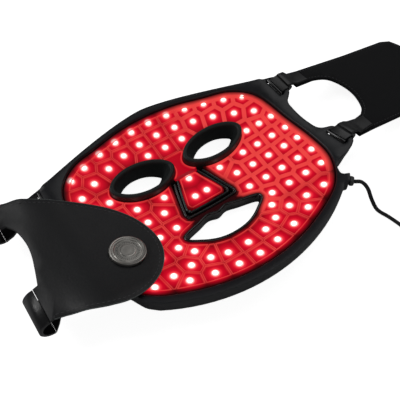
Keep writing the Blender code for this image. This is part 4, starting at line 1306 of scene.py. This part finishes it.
@dataclass(frozen=True)
class LeftStrap:
    """The strap folded over the mask: panel, lining, edge, seam, bends and runs."""

    upper_arm: Point = (40.5, 61.0)
    lower_arm: Point = (-41.5, -15.0)
    end: float = -141.9
    tongue: tuple = (
        (-120.0, 52.4), (-105.0, 43.6), (-85.0, 31.6), (-68.5, 18.2), (-57.0, 1.6), (-52.2, -16.5), (-54.6, -32.4),
        (-63.8, -46.0), (-76.7, -54.4), (-90.7, -57.4), (-104.0, -55.6), (-118.0, -49.6), (-132.0, -43.2),
    )  # fmt: skip
    cut: tuple = ((-138.0, -14.0), (-134.6, -2.0), (-132.0, 9.0), (-131.2, 20.0), (-133.0, 32.0), (-137.6, 40.0))
    bend_centre: Point = (-142.0, 20.0)
    bend_radius: float = 8.0

    def panel_outline(self, inset: float) -> Outline:
        """Outline of the folded strap, moved inward."""
        points = [(self.end, self.upper_arm[1]), (-133.0, self.upper_arm[1] - 1.5), *smooth_path(self.tongue, 5)]
        points += [(-139.0, self.lower_arm[0] + 0.3), (self.end, self.lower_arm[0]), (self.end, self.lower_arm[1])]
        points += [*smooth_path(self.cut, 4), (self.end, self.upper_arm[0])]
        ring = [(max(x, self.end), y) for x, y in grown(points, -inset)] if inset else points
        return oriented(ring)

    def build(self) -> None:
        """Makes every piece of the left strap."""
        for name, finish, slot, node, inset, levels, edge in (
            ("panel_face", "suede", "strap_leather", "strap_panel", 0.0, (11.6, 13.0), 0.6),
            ("panel_suede", "lining", "velour", "panel_lining", 0.6, (10.2, 11.2), 0.3),
        ):
            heights = [panel_height(level) for level in levels]
            sheet = Sheet(self.panel_outline(inset), *heights, edge=edge, spacing=7.0)
            Piece(name, finish, slot, Body.PANEL, (node,), angle=60.0).add(sheet.mesh())
        dress("hook_patch", "hook")
        self.trim()
        for label, arm in (("upper", self.upper_arm), ("lower", self.lower_arm)):
            self.bend(label, arm)
        for label in ("upper", "lower"):
            softened(f"strap_run_left_{label}", Piece(f"run_{label}", "leather", "strap_leather"), 0.4)
        for side in ("left", "right"):
            for label in ("upper", "lower"):
                name = f"{side}_{label}"
                softened(f"strap_loop_{name}", Piece(f"loop_{name}", "leather", "strap_leather"), 0.35)
                softened(f"slot_pin_{name}", Piece(f"pin_{name}", "pin", "black_pin"), 0.3)

    def open_edge(self, inset: float, step: float) -> Outline:
        """The panel's outer edge from the upper arm round the tongue to the lower arm."""
        ring = grown(self.panel_outline(0.0), -inset)[::-1]
        last = min(range(len(ring)), key=lambda i: math.dist(ring[i], (self.end, self.lower_arm[0])))
        return resampled([p for p in ring[: last + 1] if p[0] > self.end + 0.9], step)

    def trim(self) -> None:
        """Painted edge and the seam beside it."""
        top = panel_height(13.0)
        line = [(x, y, top(x, y) - 0.45) for x, y in self.open_edge(-0.05, 2.0)]
        Piece("panel_edge", "edge", "strap_leather", Body.PANEL).add(sweep(line, disc_profile(0.38)))
        seam = [(x, y, top(x, y) + 0.02) for x, y in self.open_edge(2.6, 3.0)]
        made = stitches(seam, 3.3, (1.25, 0.26, 0.2))
        Piece("panel_seam", "thread", "strap_leather", Body.PANEL).add(made)

    def bend(self, label: str, arm: Point) -> None:
        """The strap's half-round bend, which opens about its crest."""
        mesh = bmesh.new()
        (x, z), (low, high), half = self.bend_centre, arm, 1.2
        corners = ((low, -half), (low, half * 0.6), (low + 0.5, half))
        corners += ((high - 0.5, half), (high, half * 0.6), (high, -half))
        verts = [mesh.verts.new(place(x + 0.2, y, z - self.bend_radius - out)) for y, out in corners]
        edges = [mesh.edges.new((verts[i - 1], verts[i])) for i in range(len(verts))]
        about = {"cent": place(x, 0.0, z), "axis": (0.0, 1.0, 0.0), "angle": math.pi}
        bmesh.ops.spin(mesh, geom=[*verts, *edges], steps=18, use_merge=False, **about)
        bmesh.ops.holes_fill(mesh, edges=[edge for edge in mesh.edges if len(edge.link_faces) == 1])
        bend = (Body.MASK, Body.PANEL, place(x, 10.0, 13.0), place(x, 10.0, 27.0))
        nodes = (f"strap_bend_{label}_low", f"strap_bend_{label}_high")
        Piece(f"bend_{label}", "leather", "strap_leather", nodes=nodes, bend=bend, angle=50.0).add(mesh)


@dataclass(frozen=True)
class Badge:
    """Round metal badge with a raised rim, a bead ring and a turned field."""

    centre: Point = (-76.7, -22.2)
    beads: int = 36
    profile: Table = (
        (0.0, 0.0), (13.0, 0.0), (13.0, 1.3), (12.7, 1.85), (12.2, 2.05), (11.6, 1.95), (11.2, 1.35), (10.3, 1.3),
        (10.0, 1.55), (9.7, 1.6), (9.4, 1.3), (5.6, 1.35), (5.3, 1.7), (4.9, 1.8), (4.4, 1.75), (2.2, 1.85), (0.0, 1.9),
    )  # fmt: skip

    def axes(self) -> Matrix:
        """Matrix from the badge's own millimetres to the shared frame."""
        x, y = self.centre
        normal = Vector((-2 * 0.00139 * x, -2 * 0.00197 * y, 1.0)).normalized()
        flat = Vector((1.0, 0.0, 0.0))
        flat = (flat - flat.dot(normal) * normal).normalized()
        foot = Vector((x, y, dish(x, y) + 13.0)) + normal * 0.8
        turn = Matrix((flat, normal.cross(flat), normal)).transposed().to_4x4()
        return Matrix.Translation(place(*foot)) @ turn @ Matrix.Diagonal((MM, MM, MM, 1.0))

    def build(self) -> None:
        """Makes the turned disc and the beads on it."""
        mesh, rays, about = bmesh.new(), bmesh.new(), {"cent": (0, 0, 0), "axis": (0, 0, 1)}
        verts = [mesh.verts.new((r, 0.0, z)) for r, z in self.profile]
        edges = [mesh.edges.new(pair) for pair in zip(verts, verts[1:])]
        bmesh.ops.spin(mesh, geom=[*verts, *edges], angle=math.tau, steps=72, use_merge=True, **about)
        bmesh.ops.remove_doubles(mesh, verts=mesh.verts, dist=1e-4)
        for i in range(self.beads):
            angle = math.tau * i / self.beads
            where = Matrix.Translation((7.5 * math.cos(angle), 7.5 * math.sin(angle), 1.3))
            turn = Matrix.Rotation(angle, 4, "Z") @ Matrix.Diagonal((1.2, 0.22, 0.28, 1.0))
            bmesh.ops.create_icosphere(rays, subdivisions=1, radius=1.0, matrix=where @ turn)
        for made in (mesh, rays):
            bmesh.ops.transform(made, matrix=self.axes(), verts=made.verts)
        Piece("badge_disc", "badge", "steel", Body.PANEL, ("badge",), angle=30.0).add(mesh)
        # The bead ring takes the darker metal, painted shade in its groove.
        Piece("badge_rays", "badge_shaded", "steel", Body.PANEL).add(rays)


# ------------------------------------------------------------------ studio


@dataclass(frozen=True)
class Studio:
    """Camera, pale floor and soft lights."""

    position: tuple = (-138.02, -180.37, 332.1)
    right: tuple = (0.82165656, -0.56998104, 0.001451)
    up: tuple = (0.46226687, 0.66786607, 0.58332174)
    back: tuple = (-0.33345141, -0.47861939, 0.81223989)
    lens: float = 46.75
    panels: tuple = (
        ("key", (-0.55, 0.75, 0.9), 0.6, 2.6),
        ("fill", (0.7, 0.3, 0.8), 0.7, 1.4),
        ("front", (-0.2, -0.9, 0.9), 0.8, 1.1),
        ("bends", (-0.83, 0.58, 0.66), 0.3, 1.1),
    )

    def camera(self) -> None:
        """The camera at its measured place."""
        data = bpy.data.cameras.new("camera")
        data.lens = self.lens
        data.sensor_width = 36.0
        data.clip_start, data.clip_end = 0.01, 20.0
        made = bpy.data.objects.new("camera", data)
        bpy.context.scene.collection.objects.link(made)
        turn = Matrix((self.right, self.up, self.back)).transposed().to_4x4()
        made.matrix_world = Matrix.Translation(Vector(self.position) * MM) @ turn
        bpy.context.scene.camera = made

    def floor(self) -> None:
        """A plain pale floor."""
        mesh = bmesh.new()
        bmesh.ops.create_grid(mesh, x_segments=1, y_segments=1, size=4.0)
        data = bpy.data.meshes.new("floor")
        mesh.to_mesh(data)
        mesh.free()
        paint = Paint("floor_paper", (0.85, 0.85, 0.85), 0.95, Specular_IOR_Level=0.1)
        paint.glow(0.0)
        seen = paint.node("LightPath").outputs["Is Camera Ray"]
        paint.attach("Emission Strength", paint.math("MULTIPLY", seen, 0.9))
        data.materials.append(paint.material)
        made = bpy.data.objects.new("floor", data)
        made.location.z = -0.0003
        bpy.context.scene.collection.objects.link(made)

    def lights(self) -> None:
        """A white surround that lights softly, and the soft panels."""
        world = bpy.data.worlds.new("studio")
        world.use_nodes = True
        tree = world.node_tree
        soft, plain = tree.nodes["Background"], tree.nodes.new("ShaderNodeBackground")
        both, rays = tree.nodes.new("ShaderNodeMixShader"), tree.nodes.new("ShaderNodeLightPath")
        soft.inputs[1].default_value = 0.07
        for index, source in enumerate((rays.outputs["Is Camera Ray"], soft.outputs[0], plain.outputs[0])):
            tree.links.new(source, both.inputs[index])
        for shade in (soft, plain):
            shade.inputs[0].default_value = (1.0, 1.0, 1.0, 1.0)
        tree.links.new(both.outputs[0], tree.nodes["World Output"].inputs[0])
        bpy.context.scene.world = world
        for name, spot, size, power in self.panels:
            data = bpy.data.lights.new(name, "AREA")
            data.size = size
            data.energy = power
            made = bpy.data.objects.new(name, data)
            made.location = spot
            made.rotation_mode = "QUATERNION"
            made.rotation_quaternion = Vector(spot).to_track_quat("Z", "Y")
            bpy.context.scene.collection.objects.link(made)

    def build(self) -> None:
        """Makes the studio."""
        self.camera()
        self.floor()
        self.lights()
        bpy.context.scene.view_settings.view_transform = "Standard"


def main() -> None:
    """Builds the studio and every sub-assembly."""
    logging.basicConfig(level=logging.INFO, format="%(message)s")
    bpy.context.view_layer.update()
    for part in (Studio(), Lead(), LitFace(), Mask(), RightStrap(), LeftStrap(), Badge()):
        part.build()
        log.info("%s done", type(part).__name__)
    bpy.context.view_layer.update()


if __name__ == "__main__":
    main()
